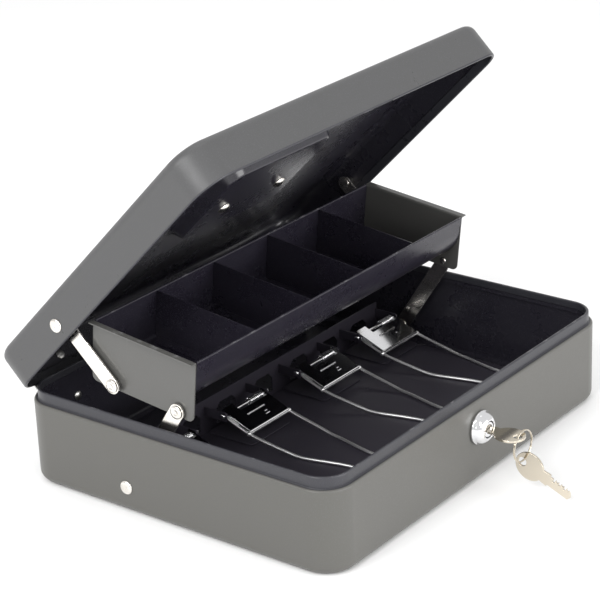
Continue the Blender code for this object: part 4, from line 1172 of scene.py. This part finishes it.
class CASHBOX_OT_keys(PieceOperator, bpy.types.Operator):
    """The key in the lock, the split ring in its bow and the spare key on the ring."""

    bl_idname = "cashbox.keys"
    bl_label = "Keys and ring"

    def build(self, sizes):
        metal = key_nickel()
        low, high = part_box("key_in_lock")
        centre = middle_of("key_in_lock")
        half_thick = (high.z - low.z) / 2
        bow_middle = low.y + BOW_HALF_LONG
        outline = key_outline(high.y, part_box("lock_plug")[0].y - 0.0012, bow_middle)
        bm = extruded([(b, a) for a, b in outline], "Z", centre.z - half_thick, centre.z + half_thick)
        bm = drilled(bm, "Z", Vector((0, bow_middle - EYE_OUT, centre.z)), -0.004, 0.004, EYE_RADIUS)
        piece("key_in_lock_stamped", bm, "lock_plug", ["key_in_lock"], (metal,), None, 0.00022)
        self.ring(metal)
        self.spare(metal, half_thick)

    def ring(self, metal):
        """Two turns of wire, side by side, with a step where they cross."""
        low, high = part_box("key_ring")
        fine = (high.y - low.y) / 4
        centre, radius = (low + high) / 2, (high.z - low.z) / 2 - fine * 2
        steps, turns = 40, 2
        points = []
        for i in range(steps * turns + 1):
            turn = math.tau * i / steps
            over = 1 / (1 + math.exp(-(i - steps * turns / 2) * 0.45))
            y = fine * (2 * over - 1)
            points.append(centre + Vector((radius * math.cos(turn), y, radius * math.sin(turn))))
        wire("key_ring_split", points, fine, "key_ring", "key_nickel", ["key_ring"], metal, smooth=False)

    def spare(self, metal, half_thick):
        drop = math.radians(SPARE_DROP)
        place = Matrix.Translation(pivot("spare_key_swing")) @ Matrix.Rotation(drop, 4, "X")
        outline = key_outline(SPARE_TIP, SPARE_SHOULDER, -EYE_OUT)
        bm = extruded(outline, "X", -half_thick, half_thick)
        bm = drilled(bm, "X", Vector((0, 0, 0)), -0.004, 0.004, EYE_RADIUS)
        piece("spare_key_stamped", bm, "spare_key", ["spare_key"], (metal,), place, 0.00022)


class CASHBOX_OT_handle(PieceOperator, bpy.types.Operator):
    """The folding handle and the two posts that it turns in."""

    bl_idname = "cashbox.handle"
    bl_label = "Handle"

    def build(self, sizes):
        metal = nickel()
        axis = CLOSED.inverted() @ pivot("handle_fold")
        corner, half, reach = 0.007, 0.040, 0.031
        rear = arc((half - corner, axis.y - corner), corner, 90, 0, 10)
        front = arc((half - corner, axis.y + corner - reach), corner, 0, -90, 10)
        right = [Vector((0.0225, axis.y, axis.z))] + [Vector((x, y, axis.z)) for x, y in rear + front]
        left = [Vector((-p.x, p.y, p.z)) for p in reversed(right)]
        wire("handle_bail", right + left, 0.0022, "handle", "nickel", ["handle"], metal, CLOSED, smooth=False)
        floor = sizes.lid_top - sizes.well_depth
        for side, sign in SIDES:
            self.post(side, Vector((sign * 0.028, axis.y, floor)), axis.z - floor, metal)

    def post(self, side, spot, rise, metal):
        under, top = -0.001, rise + 0.0042
        profile = [
            (under - 0.0030, 0), (under - 0.00295, 0.0010), (under - 0.0027, 0.0022),
            (under - 0.0022, 0.0032),
            (under - 0.0014, 0.0040), (under - 0.0006, 0.0044), (under - 0.0003, 0.0044),
            (under - 0.0003, 0.0022),
            (0.0003, 0.0022), (0.0003, 0.0042), (top - 0.0009, 0.0042),
            (top - 0.0003, 0.0039), (top, 0.0032), (top, 0),
        ]
        bm = lathe(profile, "Z", spot, 40)
        bm = drilled(bm, "X", spot + Z_AXIS * rise, -0.008, 0.008, 0.0025)
        name = "handle_post_" + side
        piece(name + "_turned", bm, "lid", [name], (metal,), CLOSED, angle=50)


class CASHBOX_OT_hinges(PieceOperator, bpy.types.Operator):
    """The two hinges on the back wall, and the strike plate inside the lid's front."""

    bl_idname = "cashbox.hinges"
    bl_label = "Hinges and strike"

    def build(self, sizes):
        metal = zinc()
        for side, _ in SIDES:
            middle = middle_of("hinge_pin_" + side).x
            still = Matrix.Translation(HINGE)
            self.leaf("hinge_leaf_base_" + side, middle, True, "root", still, metal, sizes)
            self.leaf("hinge_leaf_lid_" + side, middle, False, "lid", LID, metal, sizes)
            self.pin("hinge_pin_" + side, metal)
        self.strike(sizes, metal)

    def leaf(self, name, middle, fixed, body, place, metal, sizes):
        """A leaf with its curled knuckles and the two rivets through it."""
        wide, tall, barrel = 0.040, 0.017, 0.0022
        wall = HALF_Y - HINGE.y + 0.0003
        up = -1 if fixed else 1
        bm = bmesh.new()
        low, high = sorted((up * barrel * 0.6, up * (tall + 0.005)))
        verts = box(bm, (middle - wide / 2, wall, low), (middle + wide / 2, wall + sizes.sheet, high))
        far = [e for v in verts for e in v.link_edges if abs(v.co.z) > tall * 0.9]
        corners = [e for e in set(far) if abs(e.verts[0].co.y - e.verts[1].co.y) > 1e-4]
        round_edges(bm, corners, 0.003, 5)
        third = wide / 3
        spans = [(-1.5, -0.5), (0.5, 1.5)] if fixed else [(-0.5, 0.5)]
        gaps = [(-0.5, 0.5)] if fixed else [(-1.5, -0.5), (0.5, 1.5)]
        knuckles = bmesh.new()
        for one, two in spans:
            rod(knuckles, "X", Vector((middle, 0, 0)), one * third + 0.0003, two * third - 0.0003, barrel)
        bm = join(bm, knuckles)
        clear = bmesh.new()
        for one, two in gaps:
            ends = (middle + one * third - 0.0001, middle + two * third + 0.0001)
            box(clear, (ends[0], -0.0035, -0.0030), (ends[1], 0.0035, 0.0030))
        bm = cut(bm, clear)
        bm = drilled(bm, "X", Vector((middle, 0, 0)), -0.03, 0.03, 0.0012)
        piece(name + "_pressing", bm, body, [name], (metal,), place, 0.00012)
        rivet_z = up * tall / 2 - (0.0035 if fixed else -0.0075)
        for i, x in enumerate((middle - 0.011, middle + 0.011)):
            spot = Vector((x, HALF_Y - HINGE.y, rivet_z))
            self.rivet("%s_rivet_%d" % (name, i + 1), spot, body, place, metal)

    def rivet(self, name, spot, body, place, metal):
        profile = [
            (-0.0025, 0), (-0.0024, 0.0012), (-0.0020, 0.0024), (-0.0015, 0.0031), (-0.0013, 0.0032),
            (-0.0011, 0.0015), (0.0014, 0.0015), (0.0014, 0.0028),
            (0.0018, 0.0026), (0.0022, 0.0015), (0.0023, 0),
        ]
        bm = lathe(profile, "Y", spot, 28)
        piece(name, bm, body, (), (metal,), place, angle=50)

    def pin(self, name, metal):
        low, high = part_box(name)
        profile = [
            (low.x, 0), (low.x + 0.0001, 0.0011), (low.x + 0.0004, 0.0015), (low.x + 0.0009, 0.0015),
            (low.x + 0.0009, 0.0009), (high.x - 0.0002, 0.0009), (high.x, 0.0006), (high.x, 0),
        ]
        bm = lathe(profile, "X", Vector((0, *HINGE.yz)), 24)
        piece(name + "_turned", bm, "root", [name], (metal,), angle=50)

    def strike(self, sizes, metal):
        wall = -HALF_Y + sizes.sheet * 1.5 + 0.0003
        shelf, bend = RIM_Z + 0.0014, 0.0015
        points = [Vector((wall, 0.0745)), *arc((wall + bend, shelf + bend), bend, 180, 270, 6)]
        points.append(Vector((wall + 0.0105, shelf)))
        bm = extruded(ribbon(points, sizes.sheet), "X", 0.0055, 0.0235)
        piece("strike_plate_angle", bm, "lid", ["strike_plate"], (metal,), CLOSED, 0.0002)


class CASHBOX_OT_stage(PieceOperator, bpy.types.Operator):
    """The pale floor, the soft lights, the surroundings and the camera."""

    bl_idname = "cashbox.stage"
    bl_label = "Stage"

    def build(self, sizes):
        studio = bpy.context.scene.cash_box_studio
        self.floor(studio)
        self.light("left_softbox", (-1.30, 0.10, 0.95), (1.1, 0.9), studio.key_power)
        self.light("front_softbox", (0.25, -1.60, 0.40), (1.3, 0.6), studio.fill_power)
        self.light("overhead_softbox", (0.20, 0.35, 1.60), (1.4, 1.2), studio.top_power)
        self.light("left_strip", (-1.20, -0.40, 0.80), (0.10, 0.9), studio.strip_power)
        self.light("right_strip", (-0.62, -1.10, 0.80), (0.10, 0.9), studio.strip_power)
        world = bpy.data.worlds.new("white_surroundings")
        world.use_nodes = True
        world.node_tree.nodes["Background"].inputs["Color"].default_value = (1, 1, 1, 1)
        world.node_tree.nodes["Background"].inputs["Strength"].default_value = studio.world
        bpy.context.scene.world = world
        bpy.context.scene.view_settings.view_transform = "Standard"
        self.camera(studio)

    def floor(self, studio):
        bm = bmesh.new()
        bmesh.ops.create_grid(bm, x_segments=1, y_segments=1, size=6)
        bmesh.ops.translate(bm, vec=(0, 0, -0.0004), verts=bm.verts)
        mesh = bpy.data.meshes.new("pale_floor")
        bm.to_mesh(mesh)
        bm.free()
        floor = bpy.data.objects.new("pale_floor", mesh)
        bpy.context.scene.collection.objects.link(floor)
        material, tree, shader, place = blank("pale_floor_paint")
        shade = mixed(tree, times(tree, noise(tree, place, 6.0, 3.0), 0.02), studio.floor, (0.8, 0.8, 0.8, 1))
        tree.links.new(shade, shader.inputs["Base Color"])
        shader.inputs["Roughness"].default_value = 0.6
        mesh.materials.append(material)

    def light(self, name, spot, size, power):
        lamp = bpy.data.lights.new(name, "AREA")
        lamp.shape = "RECTANGLE"
        lamp.size, lamp.size_y = size
        lamp.energy = power
        obj = bpy.data.objects.new(name, lamp)
        bpy.context.scene.collection.objects.link(obj)
        obj.location = spot
        obj.rotation_euler = (Vector((0, 0, 0.08)) - Vector(spot)).to_track_quat("-Z", "Y").to_euler()

    def camera(self, studio):
        data = bpy.data.cameras.new("view")
        data.lens = studio.lens
        data.sensor_width = 36.0
        obj = bpy.data.objects.new("view", data)
        bpy.context.scene.collection.objects.link(obj)
        obj.location = (-0.98693, -0.75785, 0.61415)
        obj.rotation_euler = (1.1744, 0.0384, -0.9225)
        bpy.context.scene.camera = obj


class CASHBOX_PT_panel(bpy.types.Panel):
    """Lists the pieces and their settings in the sidebar."""

    bl_idname = "CASHBOX_PT_panel"
    bl_label = "Cash box"
    bl_space_type = "VIEW_3D"
    bl_region_type = "UI"
    bl_category = "Cash box"

    def draw(self, context):
        for operator in OPERATORS:
            self.layout.operator(operator.bl_idname)
        for group_name in ("cash_box_sizes", "cash_box_finishes", "cash_box_studio"):
            settings = getattr(context.scene, group_name)
            for key in settings.bl_rna.properties.keys():
                if key not in ("rna_type", "name"):
                    self.layout.prop(settings, key)


OPERATORS = (
    CASHBOX_OT_stage,
    CASHBOX_OT_base,
    CASHBOX_OT_lid,
    CASHBOX_OT_tray,
    CASHBOX_OT_links,
    CASHBOX_OT_insert,
    CASHBOX_OT_clips,
    CASHBOX_OT_lock,
    CASHBOX_OT_keys,
    CASHBOX_OT_handle,
    CASHBOX_OT_hinges,
)
GROUPS = (CashBoxSizes, CashBoxFinishes, CashBoxStudio)


def register():
    for kind in (*GROUPS, *OPERATORS, CASHBOX_PT_panel):
        bpy.utils.register_class(kind)
    bpy.types.Scene.cash_box_sizes = bpy.props.PointerProperty(type=CashBoxSizes)
    bpy.types.Scene.cash_box_finishes = bpy.props.PointerProperty(type=CashBoxFinishes)
    bpy.types.Scene.cash_box_studio = bpy.props.PointerProperty(type=CashBoxStudio)


def unregister():
    for name in ("cash_box_sizes", "cash_box_finishes", "cash_box_studio"):
        delattr(bpy.types.Scene, name)
    for kind in reversed((*GROUPS, *OPERATORS, CASHBOX_PT_panel)):
        bpy.utils.unregister_class(kind)


def main():
    register()
    for operator in OPERATORS:
        family, name = operator.bl_idname.split(".")
        getattr(getattr(bpy.ops, family), name)()


if __name__ == "__main__":
    main()
